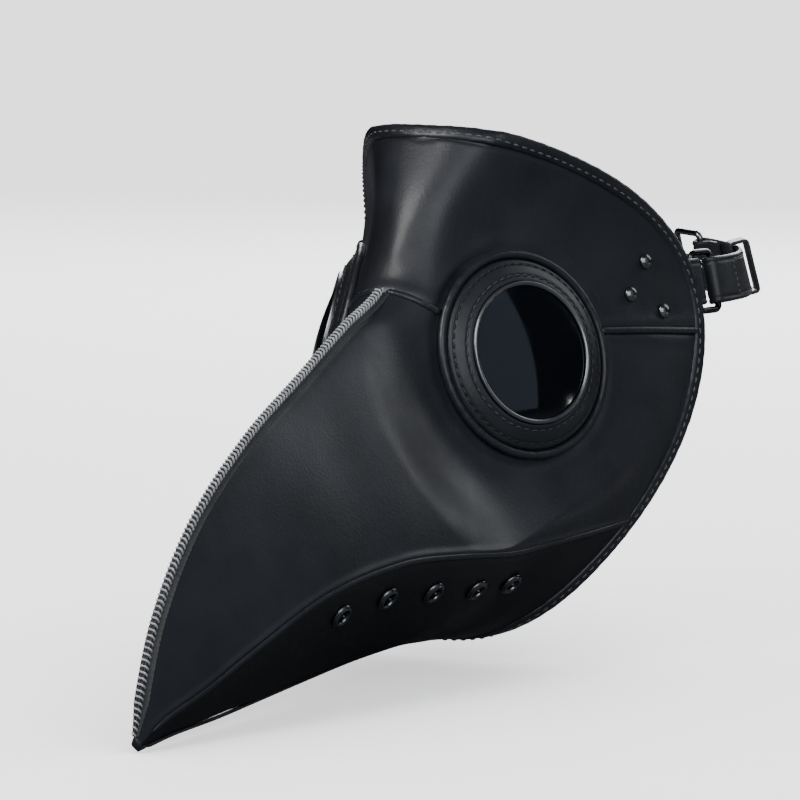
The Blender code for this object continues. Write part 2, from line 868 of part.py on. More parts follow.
def forehead_pad():
    columns = 17
    rows = 9
    flat = []
    domed = []
    for i in range(columns):
        u = -1 + 2 * i / (columns - 1)
        for j in range(rows):
            v = -1 + 2 * j / (rows - 1)
            x = PAD_HALF_WIDTH * u * math.sqrt(1 - 0.14 * v * v)
            z = PAD_HALF_HEIGHT * v * math.sqrt(1 - 0.3 * u * u)
            dome = 1 - u * u
            depth = PAD_EDGE_DEPTH + (PAD_DEPTH - PAD_LEAN * z) * dome
            flat.append(Vector((x, 0, z)))
            domed.append(Vector((x, -depth, z)))
    vertices = flat + domed
    count = columns * rows
    border = [i * rows for i in range(columns)]
    border += [(columns - 1) * rows + j for j in range(1, rows)]
    border += [i * rows + rows - 1 for i in range(columns - 2, -1, -1)]
    border += [j for j in range(rows - 2, 0, -1)]
    faces = grid_faces(columns, rows, count)
    faces.append(tuple(border))
    for k, a in enumerate(border):
        b = border[(k + 1) % len(border)]
        faces.append((a, b, b + count, a + count))
    keep = set(border) | set(range(count, 2 * count))
    index = {old: new for new, old in enumerate(sorted(keep))}
    vertices = [vertices[old] for old in sorted(keep)]
    faces = [tuple(index[k] for k in face) for face in faces]
    finish("forehead_pad", vertices, faces, GREY_FOAM)


# ---------------------------------------------------------------- head strap


class Spot:
    """A place on a strap: its point and its directions back along it, out and up."""

    def __init__(self, point, back, level_out):
        self.point = point
        self.back = back
        self.up = Vector((0, 0, 1)) * math.cos(STRAP_TILT) - level_out * math.sin(STRAP_TILT)
        self.out = level_out * math.cos(STRAP_TILT) + Vector((0, 0, 1)) * math.sin(STRAP_TILT)

    def at(self, along, outward, upward=0):
        return self.point + self.back * along + self.out * outward + self.up * upward


def tab_around(station):
    """Where the strap's height crosses a section."""
    crown_up = along_rows(CROWN, station)[1]
    keel_up = along_rows(KEEL, station)[1]
    return (crown_up - STRAP_HEIGHT) / (crown_up - keel_up)


def tab_step(station):
    """One step of the strap tab that lies under the temple."""
    around = tab_around(station)
    normal = skin_normal(station, around)
    ahead = mask_point(max(station - 0.01, 0), tab_around(station - 0.01))
    behind = mask_point(min(station + 0.01, 1), tab_around(min(station + 0.01, 1)))
    across = normal.cross((behind - ahead).normalized()).normalized()
    point = mask_point(station, around) - normal * TAB_DEPTH
    half_width = TAB_HALF_WIDTH if station <= TAB_TAPER_STATION else STRAP_HALF_WIDTH
    return (point, normal, across, half_width, STRAP_LEATHER)


def tab_spot(along=0):
    """A place on the tab, measured back from where it turns round the front bar of the loop."""
    edge = tab_step(1.0)[0]
    front = tab_step(0.94)[0]
    back = edge - front
    back.z = 0
    back.normalize()
    return Spot(edge + back * (TAB_REACH + along), back, Vector((back.y, -back.x, 0)))


def strap_start():
    """The strap's outer leaf where it leaves the rear bar of the metal loop."""
    tab = tab_spot()
    return Spot(tab.at(LOOP_LENGTH, 0), tab.back, Vector((tab.back.y, -tab.back.x, 0)))


def head_points():
    """The level curve of the strap from its hinge bar to the middle of the back of the head."""
    start = strap_start()
    end = Vector((0, HEAD_BACK + BROW_POINT.y, start.point.z))
    leave = start.back * HEAD_ROUNDNESS
    arrive = Vector((-HEAD_ROUNDNESS, 0, 0))
    points = []
    for i in range(121):
        u = i / 120
        points.append(
            start.point * (2 * u**3 - 3 * u**2 + 1)
            + leave * (u**3 - 2 * u**2 + u)
            + end * (3 * u**2 - 2 * u**3)
            + arrive * (u**3 - u**2)
        )
    mirror = [on_side(point, -1) for point in reversed(points[:-1])]
    return points + mirror


def head_length(points):
    return sum((b - a).length for a, b in zip(points, points[1:]))


def head_spot(points, arc):
    """The place this far round the head from the hinge bar."""
    travelled = 0
    for a, b in zip(points, points[1:]):
        step = (b - a).length
        if travelled + step >= arc:
            back = (b - a).normalized()
            point = a + back * (arc - travelled)
            return Spot(point, back, Vector((back.y, -back.x, 0)))
        travelled += step
    raise ValueError("the arc runs past the strap's end")


def strap_step(spot, along=0, outward=0, turn=0, half_width=STRAP_HALF_WIDTH):
    """A step of a strap at a spot, its leather turned about the spot's up direction."""
    thick = spot.out * math.cos(turn) + spot.back * math.sin(turn)
    return (spot.at(along, outward), thick, spot.up, half_width, STRAP_LEATHER)


def fold_steps(spot_along, direction, leaf):
    """The leather round a bar and its short inner leaf. Direction is 1 when it turns at its rear.

    spot_along gives the place this far back from the bar. Each row of the leaf is its distance from
    the bar, how deep it lies and its share of the lean.
    """
    spot = spot_along(0)
    steps = []
    for k in range(9):
        turn = math.pi * k / 8
        along = FOLD_RADIUS * math.sin(turn) * direction
        outward = FOLD_RADIUS * (math.cos(turn) - 1)
        steps.append(strap_step(spot, along, outward, turn * direction))
    for distance, depth, share in leaf:
        place = spot_along(-distance * direction)
        steps.append(strap_step(place, 0, -depth, math.pi + LEAF_LEAN * share * direction))
    return steps


def wire_ring(name, spot, length, look, side):
    """A rounded rectangle of wire whose first bar lies under the leather at the spot."""
    points = []
    corners = (
        (LOOP_CORNER, LOOP_HALF_WIDTH - LOOP_CORNER, 180, 90),
        (length - LOOP_CORNER, LOOP_HALF_WIDTH - LOOP_CORNER, 90, 0),
        (length - LOOP_CORNER, -LOOP_HALF_WIDTH + LOOP_CORNER, 0, -90),
        (LOOP_CORNER, -LOOP_HALF_WIDTH + LOOP_CORNER, -90, -180),
    )
    for along, upward, first, last in corners:
        for k in range(4):
            angle = math.radians(first + (last - first) * k / 3)
            points.append(
                spot.at(
                    along + LOOP_CORNER * math.cos(angle),
                    -FOLD_RADIUS,
                    upward + LOOP_CORNER * math.sin(angle),
                )
            )
    tube(name, points, LOOP_WIRE, 8, look, closed=True, side=side, up=spot.out)


def temple_fittings(side):
    """The riveted leather tab inside the temple and the metal loop it holds."""
    tag = side_name(side)
    spot = tab_spot()
    middle = (TAB_FRONT_STATION + TAB_TAPER_STATION) / 2
    steps = [tab_step(k) for k in (TAB_FRONT_STATION, middle, TAB_TAPER_STATION, 1.0)]
    steps += fold_steps(tab_spot, 1, TAB_LEAF)
    tab = band("strap_tab_" + tag, steps, BLACK_LEATHER, side=side)
    cut_holes(tab, [(place, RIVET_HOLE) for place in rivet_places()], 8, side)
    wire_ring("strap_loop_" + tag, spot, LOOP_LENGTH, BLACK_METAL, side)


def strap_run(points, start, end, count):
    return [
        strap_step(head_spot(points, start + (end - start) * k / (count - 1)))
        for k in range(count)
    ]


def hinge_fold(points):
    """The front fold of a strap half, from its inner leaf's end to the outer leaf."""

    def spot_along(along):
        return head_spot(points, along)

    return list(reversed(fold_steps(spot_along, -1, STRAP_LEAF)))[:-1]


def left_strap(points):
    """The shorter half, which holds the buckle in a fold at its rear."""

    def spot_along(along):
        return head_spot(points, LEFT_STRAP_LENGTH + along)

    steps = hinge_fold(points)
    steps += strap_run(points, 0, LEFT_STRAP_LENGTH, 16)[:-1]
    steps += fold_steps(spot_along, 1, STRAP_LEAF)
    strap = band("head_strap_left", steps, BLACK_LEATHER)
    cut_slot(strap, spot_along(0))


def cut_slot(strap, spot):
    """The slot through which the prong reaches the buckle's bar."""
    vertices = []
    for along in PRONG_SLOT_ENDS:
        for outward in PRONG_SLOT_FACES:
            for upward in (-PRONG_SLOT_HALF, PRONG_SLOT_HALF):
                vertices.append(spot.at(along, outward, upward))
    faces = [(0, 1, 3, 2), (4, 6, 7, 5), (0, 4, 5, 1), (2, 3, 7, 6), (0, 2, 6, 4), (1, 5, 7, 3)]
    cutter = finish("prong_slot_cutter", vertices, faces, DARK_LEATHER)
    cutter.hide_render = True
    cutter.display_type = "WIRE"
    cut = strap.modifiers.new("slot", "BOOLEAN")
    cut.operation = "DIFFERENCE"
    cut.solver = "EXACT"
    cut.object = cutter


def right_strap(points):
    """The longer half with the rounded tongue, drawn on the left and mirrored."""
    tip = head_length(points) - LEFT_STRAP_LENGTH - BUCKLE_LENGTH - LOOP_WIRE - TONGUE_CLEAR
    steps = hinge_fold(points)
    steps += strap_run(points, 0, tip - TONGUE_TAPER, 26)
    for back_off, half_width in TONGUE_STEPS:
        steps.append(strap_step(head_spot(points, tip - back_off), half_width=half_width))
    strap = band("head_strap_right", steps, BLACK_LEATHER, side=-1)
    holes = []
    for k in range(STRAP_HOLES):
        spot = head_spot(points, tip - STRAP_HOLE_FIRST - STRAP_HOLE_STEP * k)
        holes.append((frame_at(spot.point, spot.out), STRAP_HOLE_RADIUS))
    cut_holes(strap, holes, 4, -1)


def buckle(points):
    spot = head_spot(points, LEFT_STRAP_LENGTH)
    wire_ring("buckle_frame", spot, BUCKLE_LENGTH, STEEL, 1)
    path = []
    for k in range(13):
        angle = math.radians(-15 - 255 * k / 12)
        along = PRONG_RADIUS * math.cos(angle)
        outward = -FOLD_RADIUS + PRONG_RADIUS * math.sin(angle)
        path.append(spot.at(along, outward))
    path.append(spot.at(PRONG_REACH * 0.5, PRONG_RADIUS - FOLD_RADIUS))
    path.append(spot.at(PRONG_REACH, PRONG_RADIUS - FOLD_RADIUS))
    tube("buckle_prong", path, PRONG_WIRE, 8, STEEL, up=spot.up)


def keeper(points):
    """The sliding loop that holds the tongue flat."""
    spot = head_spot(points, KEEPER_PLACE)
    half_up = STRAP_HALF_WIDTH + KEEPER_SIDE_ROOM + KEEPER_LEATHER / 2
    inner = -STRAP_LEATHER / 2 - KEEPER_INNER_ROOM - KEEPER_LEATHER / 2
    outer = STRAP_LEATHER / 2 + KEEPER_OUTER_ROOM + KEEPER_LEATHER / 2
    corner = KEEPER_CORNER
    steps = []
    corners = (
        (half_up - corner, outer - corner, 90, 0),
        (half_up - corner, inner + corner, 0, -90),
        (-half_up + corner, inner + corner, -90, -180),
        (-half_up + corner, outer - corner, 180, 90),
    )
    for upward, outward, first, last in corners:
        for k in range(3):
            angle = math.radians(first + (last - first) * k / 2)
            side_up, side_out = math.cos(angle), math.sin(angle)
            centre = spot.at(0, outward + corner * side_out, upward + corner * side_up)
            thick = spot.up * side_up + spot.out * side_out
            steps.append((centre, thick, spot.back, KEEPER_HALF_WIDTH, KEEPER_LEATHER))
    band("strap_keeper", steps, BLACK_LEATHER, closed=True)


def build_all():
    clear_scene()
    for side in (1, -1):
        beak_panel(side)
        under_panel(side)
        brow_piping(side)
        lower_seam_piping(side)
        eye_parts(side)
        vent_eyelets(side)
        temple_rivets(side)
        temple_fittings(side)
    forehead_panel()
    ridge_seam()
    keel_seam()
    edge_binding()
    forehead_pad()
    points = head_points()
    left_strap(points)
    right_strap(points)
    buckle(points)
    keeper(points)


build_all()
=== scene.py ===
"""The finished look of a beaked plague doctor mask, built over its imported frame.

Sizes are millimetres, in the frame's own axes: the mask looks toward -Y, the wearer's left is +X and
up is +Z. The origin is the middle of the forehead cushion's flat inner face. The leather follows one
smooth law, skin(station, around): the station runs from the beak tip (0) to the rear edge (1), and
around runs from the crown line (0) to the keel under the beak (1).
"""

import math

import bmesh
import bpy
import numpy as np
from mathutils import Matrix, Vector


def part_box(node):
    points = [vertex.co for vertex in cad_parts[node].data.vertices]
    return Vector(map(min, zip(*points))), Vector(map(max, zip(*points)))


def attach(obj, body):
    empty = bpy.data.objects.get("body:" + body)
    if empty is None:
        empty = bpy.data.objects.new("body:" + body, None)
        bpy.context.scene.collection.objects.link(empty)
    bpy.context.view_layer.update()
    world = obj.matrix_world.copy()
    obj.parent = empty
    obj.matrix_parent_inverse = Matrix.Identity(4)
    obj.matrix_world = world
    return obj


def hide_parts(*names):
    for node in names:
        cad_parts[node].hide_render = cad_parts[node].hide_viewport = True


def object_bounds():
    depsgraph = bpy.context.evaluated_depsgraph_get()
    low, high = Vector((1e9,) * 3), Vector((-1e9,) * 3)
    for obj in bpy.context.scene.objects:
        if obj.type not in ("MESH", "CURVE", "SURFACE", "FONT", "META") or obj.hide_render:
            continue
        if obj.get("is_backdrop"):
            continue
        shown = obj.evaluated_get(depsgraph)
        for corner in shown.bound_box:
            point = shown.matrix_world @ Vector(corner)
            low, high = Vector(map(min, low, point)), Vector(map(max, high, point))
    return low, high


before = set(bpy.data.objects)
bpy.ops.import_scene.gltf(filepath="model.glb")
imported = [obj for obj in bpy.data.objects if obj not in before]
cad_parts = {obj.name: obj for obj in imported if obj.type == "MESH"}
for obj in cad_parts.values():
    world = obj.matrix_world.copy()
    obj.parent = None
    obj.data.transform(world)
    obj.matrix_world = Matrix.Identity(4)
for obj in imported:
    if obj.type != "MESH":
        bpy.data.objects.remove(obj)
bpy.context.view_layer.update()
MM = 0.001

# ---------------------------------------------------------------- shape of the mask

BROW_POINT = np.array((0, -46, -38))
LEATHER = 1.8

# Crown line: station, how far ahead of the brow point, how far above it.
CROWN = (
    (0.00, 199, -138),
    (0.11, 182, -100),
    (0.22, 154, -69.5),
    (0.36, 112.5, -44.5),
    (0.50, 69, -26.5),
    (0.61, 32, -11.5),
    (0.70, 0, 0),
    (0.78, -10, 17),
    (0.88, -21, 36),
    (1.00, -36, 58),
)
# Keel line: station, how far ahead of the brow point, how far above it.
KEEL = (
    (0.00, 197, -143),
    (0.11, 171, -141),
    (0.22, 137, -140),
    (0.36, 99, -138),
    (0.50, 62, -136),
    (0.61, 30, -134.5),
    (0.70, 5, -134),
    (0.78, -14, -134),
    (0.88, -30, -135),
    (1.00, -46, -136),
)
# Cross sections: station, half width, place of the widest line, upper roundness, lower roundness, share
# of sine in the outline (0 gives a crease at the widest line), sweep back toward the head, and the place
# round the section of the lower seam between side and under panels.
SECTIONS = (
    (0.00, 1.5, 0.600, 0.90, 0.90, 0.20, 0, 0.600),
    (0.11, 8, 0.710, 0.90, 0.90, 0.30, 0, 0.710),
    (0.22, 17, 0.650, 0.90, 0.90, 0.35, 0, 0.650),
    (0.36, 27, 0.590, 0.85, 0.90, 0.40, 0, 0.590),
    (0.50, 37, 0.600, 0.80, 0.85, 0.45, 4, 0.600),
    (0.61, 45, 0.660, 0.72, 0.80, 0.50, 10, 0.665),
    (0.70, 52, 0.690, 0.60, 0.72, 0.50, 20, 0.715),
    (0.78, 58, 0.670, 0.50, 0.62, 0.60, 36, 0.745),
    (0.88, 66, 0.620, 0.39, 0.48, 0.80, 58, 0.760),
    (1.00, 75, 0.550, 0.31, 0.38, 1.00, 88, 0.770),
)
SWEEP_PEAK = 0.68
SWEEP_SHARPNESS = 1.25
BROW_STATION = 0.70
BROW_END = 0.42
TEMPLE_TOP = 0.20

# Eyes.
EYE_CENTRE = np.array((38.2, 39.6, -25.7)) + BROW_POINT
EYE_YAW = math.radians(64)
EYE_TILT = math.radians(15)
EYE_SEAT_RADIUS = 43
EYE_BLEND_RADIUS = 88
EYE_BLEND_NARROW = 62
EYE_NARROW_TURN = math.radians(138)
EYE_NARROW_SPREAD = math.radians(60)
EYE_HOLE_RADIUS = 29.5
EYE_CORD_CIRCLE = 38.3
EYE_CORD = 1.6
RING_OUTER = 36.4
RING_INNER = 27.6
RING_OUTER_ROW = 34.3
RING_INNER_ROW = 29.6
LENS_RADIUS = 25.9
LENS_UNDERSIDE = 4.2
LENS_EDGE = 6.0
LENS_DOME = 3.2
EYE_SEGMENTS = 120
EYE_CUT_DEPTH = 12
EYE_CUT_SEGMENTS = 96

# Seams.
RIDGE_END = 0.695
FLANGE_HEIGHT = 3.3
FLANGE_HALF = 1.05
WHIP_PITCH = 2.2
WHIP_THREAD = 0.42
SEAM_CORD = 1.15
LOWER_CORD = 0.95
KEEL_CORD = 0.9
SEAM_GAP = 0.12
# Grid lines along and down each panel. One of a side panel's lies at the brow point.
SIDE_COLUMNS = 271
SIDE_ROWS = 104
UNDER_ROWS = 52
FOREHEAD_COLUMNS = 191
FOREHEAD_ROWS = 76
# Stitches: length, spacing, radius.
BINDING_STITCH = (2.6, 3.9, 0.33)
RING_STITCH = (2.7, 3.7, 0.36)
QUILT_STITCH = (2.0, 3.1, 0.28)
STRAP_STITCH = (2.4, 3.6, 0.3)
FOLD_STITCH = (1.7, 2.5, 0.3)

# Eyelets and rivets.
EYELETS_PER_SIDE = 5
EYELET_FIRST_STATION = 0.42
EYELET_STATION_STEP = 0.0885
EYELET_DROP = 0.13
EYELET_DROP_TAPER = 0.10
EYELET_FLANGE = 5.0
EYELET_BORE = 2.6
EYELET_NECK = 0.5
EYELET_CUT_DEPTH = 6
RIVETS = ((0.956, 0.244), (0.919, 0.281), (0.950, 0.344))
RIVET_CAP = 3.0
FASTENER_SEGMENTS = 48

# Brow cushion. Its quilting lines and their width are shares of its half width.
CUSHION_SHRINK = 0.95
CUSHION_VOXEL = 1.4
CUSHION_SWELL = 1.2
CUSHION_CROWN = 0.75
CUSHION_STEPS = 20
CUSHION_CORNER = 0.52
CUSHION_PIPING = 0.8
QUILT_LINES = (-0.36, 0.36)
QUILT_WIDTH = 0.085
QUILT_DEPTH = 1.0

# Head strap.
STRAP_HALF = 9
STRAP_LEATHER = 1.8
STRAP_TILT = math.radians(14)
STRAP_HEIGHT = -5
TAB_DEPTH = 4.8
TAB_FRONT = 0.895
TAB_HALF = 14
TAB_REACH = 9
TAB_SAG = 1.4
LOOP_WIRE = 1.3
LOOP_LENGTH = 11
LOOP_HALF = 11.3
LOOP_CORNER = 2.4
FOLD_RADIUS = LOOP_WIRE + 0.35 + STRAP_LEATHER / 2
LEAF_LEAN = math.radians(22)
# Inner leaves behind the bars: distance from the bar, depth under the outer leaf, share of the lean.
STRAP_LEAF = ((2.5, 5.0, 0.5), (6.0, 3.2, 1.0), (8.5, 2.35, 0.25), (14.0, 2.3, 0.0))
TAB_LEAF = STRAP_LEAF[:2]
HEAD_BACK = 226
HEAD_ROUNDNESS = 112
LEFT_STRAP_LENGTH = 78
BUCKLE_LENGTH = 17
TONGUE_CLEAR = 8
TONGUE_TAPER = 9
PRONG_WIRE = 0.9
PRONG_RADIUS = 2.5
PRONG_REACH = 19.5
PRONG_SLOT_HALF = 1.6
PRONG_SLOT_ENDS = (-7.5, 4.6)
PRONG_SLOT_FACES = (-7.5, 2.2)
KEEPER_PLACE = 46
KEEPER_HALF = 4
KEEPER_LEATHER = 1.4
KEEPER_CORNER = 1.4
# Room between the keeper and the strap: beside it, inside it, and outside it for the tongue.
KEEPER_SIDE_ROOM = 0.7
KEEPER_INNER_ROOM = 1.2
KEEPER_OUTER_ROOM = 2.6
STRAP_HOLES = 5
STRAP_HOLE_RADIUS = 1.4
STRAP_HOLE_STEP = 10
STRAP_HOLE_FIRST = 18
STRAP_CUT_DEPTH = 4
# How far from a strap's ends its sewn lines across and along it lie.
FOLD_STITCHES = 11
EDGE_STITCHES = 12

# Studio.
VIEW_YAW = 26
VIEW_RISE = 7
CAMERA_DISTANCE = 3000
VIEW_SPAN = 300
FLOOR_DROP = 0.4
FLOOR_RADIUS = 6500
BACKDROP_RADIUS = 1400
WALL_HEIGHT = 6000
FLOOR_SEGMENTS = 96
FLOOR_GLOW = 2.1
# Lights: name, yaw, rise, distance, width, height, watts, colour.
LIGHTS = (
    ("key", -22, 42, 1500, 700, 800, 18, (1.0, 0.99, 0.98)),
    ("front_fill", 42, 26, 1700, 1500, 1300, 17, (0.92, 0.96, 1.0)),
    ("lens_panel", 86, 20, 1400, 800, 1100, 1.1, (0.66, 0.82, 1.0)),
    ("glint", 119, -3, 900, 36, 70, 0.08, (1.0, 1.0, 1.0)),
    ("sheen", 145, 30, 1500, 600, 900, 3.4, (0.94, 0.97, 1.0)),
    ("behind", 196, 24, 1600, 1100, 900, 26, (0.94, 0.97, 1.0)),
)


# ---------------------------------------------------------------- numbers and lines


def smooth_step(share):
    share = np.clip(share, 0, 1)
    return share * share * (3 - 2 * share)


def hump(distance, centre, reach):
    return np.exp(-(((distance - centre) / reach) ** 2))


def signed_power(values, power):
    """The values bent by a power, their signs kept."""
    return np.sign(values) * np.abs(values) ** power


def unit(vectors):
    return vectors / np.linalg.norm(vectors, axis=-1, keepdims=True)


def hermite(start, leave, end, arrive, u):
    """The cubic from start to end with the given slopes at its ends."""
    return (
        (2 * u**3 - 3 * u**2 + 1) * start
        + (u**3 - 2 * u**2 + u) * leave
        + (3 * u**2 - 2 * u**3) * end
        + (u**3 - u**2) * arrive
    )


def rows_at(rows, station):
    """Smooth values between the rows at each station, one array for each column after the first."""
    table = np.array(rows, float)
    places = table[:, 0]
    index = np.clip(np.searchsorted(places, station) - 1, 0, len(rows) - 2)
    order = np.arange(len(rows))
    before = table[np.maximum(order - 1, 0)]
    after = table[np.minimum(order + 1, len(rows) - 1)]
    slopes = (after[:, 1:] - before[:, 1:]) / (after[:, :1] - before[:, :1])
    step = (places[index + 1] - places[index])[..., None]
    part = (np.asarray(station) - places[index])[..., None] / step
    start, end = table[index, 1:], table[index + 1, 1:]
    values = hermite(start, slopes[index] * step, end, slopes[index + 1] * step, part)
    return np.moveaxis(values, -1, 0)


def turns(count):
    """Even angles round a full turn."""
    return np.linspace(0, math.tau, count, endpoint=False)


def circle(radius, count, lobes=0, depth=0, turn=0.0):
    """A round section, which may have the lobes of twisted strands."""
    angle = turns(count)
    reach = radius * (1 + depth * np.cos(lobes * angle + turn))
    return np.stack((reach * np.cos(angle), reach * np.sin(angle)), axis=-1)


def eased_outline(corners, radius, steps=4, closed=True):
    """The outline with each corner rounded."""
    corners = np.array(corners, float)
    outline = []
    for k, corner in enumerate(corners):
        if not closed and k in (0, len(corners) - 1):
            outline.append(corner)
            continue
        before = corners[k - 1] - corner
        after = corners[(k + 1) % len(corners)] - corner
        start = corner + before * min(radius / np.linalg.norm(before), 0.46)
        end = corner + after * min(radius / np.linalg.norm(after), 0.46)
        for t in np.linspace(0, 1, steps):
            outline.append(start * (1 - t) ** 2 + corner * 2 * t * (1 - t) + end * t * t)
    return np.array(outline)


def round_rectangle(low, high, corner, count):
    """Points round a rectangle with round corners, and the direction out of it at each."""
    middle = (np.array(high) + low) / 2
    reach = (np.array(high) - low) / 2 - corner
    points = []
    outward = []
    for signs, first in (((-1, 1), 180), ((1, 1), 90), ((1, -1), 0), ((-1, -1), -90)):
        for angle in np.radians(np.linspace(first, first - 90, count)):
            spoke = np.array((math.cos(angle), math.sin(angle)))
            points.append(middle + reach * signs + spoke * corner)
            outward.append(spoke)
    return points, outward


def tangents(points, closed=False):
    if closed:
        return unit(np.roll(points, -1, axis=0) - np.roll(points, 1, axis=0))
    return unit(np.gradient(points, axis=0))


def lengths_along(points, axis=0):
    """Distance along the points from the first, on the given axis of their grid."""
    steps = np.linalg.norm(np.diff(points, axis=axis), axis=-1)
    start = np.zeros_like(np.take(steps, [0], axis=axis))
    return np.concatenate((start, np.cumsum(steps, axis=axis)), axis=axis)


def between(places, travelled, values):
    """Rows of values, known at the travelled distances, at other places."""
    return np.stack([np.interp(places, travelled, column) for column in values.T], -1)


def evenly(points, count, *others):
    """The line and its partner vectors at even distances."""
    travelled = lengths_along(points)
    places = np.linspace(0, travelled[-1], count)
    return [between(places, travelled, values) for values in (points, *others)]


# ---------------------------------------------------------------- the skin law


def eye_axis():
    level = math.cos(EYE_TILT)
    return np.array((math.sin(EYE_YAW) * level, -math.cos(EYE_YAW) * level, math.sin(EYE_TILT)))


def eye_places(points):
    """Height over the left eye's plane, distance from its axis and angle round it."""
    axis = eye_axis()
    from_eye = points - EYE_CENTRE
    lift = from_eye @ axis
    flat = from_eye - axis * lift[..., None]
    first = unit(np.cross((0, 0, 1), axis))
    second = np.cross(axis, first)
    return lift, np.linalg.norm(flat, axis=-1), np.arctan2(flat @ second, flat @ first)


def skin(station, around):
    """Points of the skin. Outside 0 to 1 the section carries on mirrored."""
    station = np.clip(np.asarray(station, float), 0, 1)
    station, around = np.broadcast_arrays(station, np.asarray(around, float))
    mirrored = (around < 0) | (around > 1)
    around = np.abs(around)
    around = np.where(around > 1, 2 - around, around)
    crown_ahead, crown_up = rows_at(CROWN, station)
    keel_ahead, keel_up = rows_at(KEEL, station)
    width, widest, upper, lower, sine, sweep, _ = rows_at(SECTIONS, station)
    above = around < widest
    share = np.clip(np.where(above, around / widest, (1 - around) / (1 - widest)), 0, 1)
    roundness = np.where(above, upper, lower)
    outline = (1 - sine) * share**roundness + sine * np.sin(math.pi / 2 * share) ** roundness
    turn = np.clip(np.sin(math.pi * around**SWEEP_PEAK), 0, 1)
    back = sweep * turn**SWEEP_SHARPNESS
    ahead = crown_ahead + (keel_ahead - crown_ahead) * around - back
    up = crown_up + (keel_up - crown_up) * around
    points = np.stack((width * outline, -ahead, up), axis=-1) + BROW_POINT
    lift, radius, turn = eye_places(points)
    away = np.abs((turn - EYE_NARROW_TURN + math.pi) % math.tau - math.pi)
    widening = smooth_step(away / EYE_NARROW_SPREAD)
    end = EYE_BLEND_NARROW + (EYE_BLEND_RADIUS - EYE_BLEND_NARROW) * widening
    reach = (end - radius) / (end - EYE_SEAT_RADIUS)
    points = points - eye_axis() * (lift * smooth_step(reach))[..., None]
    points[..., 0] = np.where(mirrored, -points[..., 0], points[..., 0])
    return points


def skin_normal(station, around):
    step = 0.012
    station, around = np.asarray(station), np.asarray(around)
    along = skin(np.minimum(station + step, 1), around) - skin(np.maximum(station - step, 0), around)
    across = skin(station, around + step) - skin(station, around - step)
    return unit(np.cross(across, along))


def brow_around(station):
    """Where the brow seam crosses a section behind the brow point."""
    return BROW_END * np.sqrt(np.clip((station - BROW_STATION) / (1 - BROW_STATION), 0, 1))


def seam_around(station):
    """Where the lower seam crosses a section."""
    return rows_at(SECTIONS, station)[-1]


def place_at(origin, axis):
    """Origin and three directions, the last on the axis and the second as near upright as it can be."""
    z_axis = unit(np.asarray(axis, float))
    x_axis = unit(np.cross((0, 0, 1), z_axis))
    return np.asarray(origin, float), x_axis, np.cross(z_axis, x_axis), z_axis


def spokes_of(place, count):
    """Even directions round a place's axis."""
    angle = turns(count)[:, None]
    return np.cos(angle) * place[1] + np.sin(angle) * place[2]


def eye_place():
    return place_at(EYE_CENTRE, eye_axis())


def skin_place(station, around):
    """A fastener's place on the skin, its axis along the outward direction."""
    return place_at(skin(station, around), skin_normal(station, around))


def eyelet_places():
    places = []
    for k in range(EYELETS_PER_SIDE):
        station = EYELET_FIRST_STATION + EYELET_STATION_STEP * k
        drop = EYELET_DROP - EYELET_DROP_TAPER * (station - EYELET_FIRST_STATION)
        places.append(skin_place(station, float(seam_around(station)) + drop))
    return places


def rivet_places():
    return [skin_place(station, around) for station, around in RIVETS]


# ---------------------------------------------------------------- mesh helpers


def side_name(side):
    return "left" if side > 0 else "right"


def link(name, data):
    """A new object in the scene."""
    obj = bpy.data.objects.new(name, data)
    bpy.context.scene.collection.objects.link(obj)
    return obj


def make(name, points, faces, looks, side=1, look_index=None, sharp=42):
    """Makes the named mesh in metres, mirrored for the wearer's right when side is -1."""
    points = np.array(points, float).reshape(-1, 3)
    points[:, 0] *= side
    mesh = bpy.data.meshes.new(name)
    mesh.from_pydata((points * MM).tolist(), [], faces)
    for look in looks:
        mesh.materials.append(look)
    if look_index is not None:
        mesh.polygons.foreach_set("material_index", look_index)
    work = bmesh.new()
    work.from_mesh(mesh)
    bmesh.ops.recalc_face_normals(work, faces=work.faces)
    work.to_mesh(mesh)
    work.free()
    mesh.shade_smooth()
    mesh.set_sharp_from_angle(angle=math.radians(sharp))
    return link(name, mesh)


def fit(obj, slot, *nodes, body="mask"):
    """Puts a piece on its body and hides the frame's plain nodes it stands for. The slot it is given is not
    used.
    """
    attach(obj, body)
    if nodes:
        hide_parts(*nodes)


def grid_faces(columns, rows, start=0, wrap_columns=False, wrap_rows=False):
    i = np.arange(columns if wrap_columns else columns - 1)[:, None]
    j = np.arange(rows if wrap_rows else rows - 1)[None, :]
    i_next = (i + 1) % columns
    j_next = (j + 1) % rows
    corners = (i * rows + j, i_next * rows + j, i_next * rows + j_next, i * rows + j_next)
    return np.stack([corner + start for corner in corners], axis=-1).reshape(-1, 4).tolist()


def tube_faces(count, size, start=0):
    """The faces of a solid tube of count rings, with both ends closed."""
    first = list(range(start, start + size))
    last = [corner + (count - 1) * size for corner in reversed(first)]
    return grid_faces(count, size, start, wrap_rows=True) + [first, last]


def swept(name, centres, across, outward, sections, look, closed=False, side=1, sharp=50):
    """A solid along the centres, whose sections hold (across, outward) pairs."""
    centres, across, outward = (np.asarray(values, float) for values in (centres, across, outward))
    count, size = len(centres), np.shape(sections)[-2]
    sections = np.broadcast_to(sections, (count, size, 2))
    across = np.broadcast_to(across, centres.shape)[:, None]
    outward = np.broadcast_to(outward, centres.shape)[:, None]
    points = centres[:, None] + across * sections[..., :1] + outward * sections[..., 1:]
    if closed:
        faces = grid_faces(count, size, wrap_columns=True, wrap_rows=True)
    else:
        faces = tube_faces(count, size)
    return make(name, points, faces, [look], side, sharp=sharp)


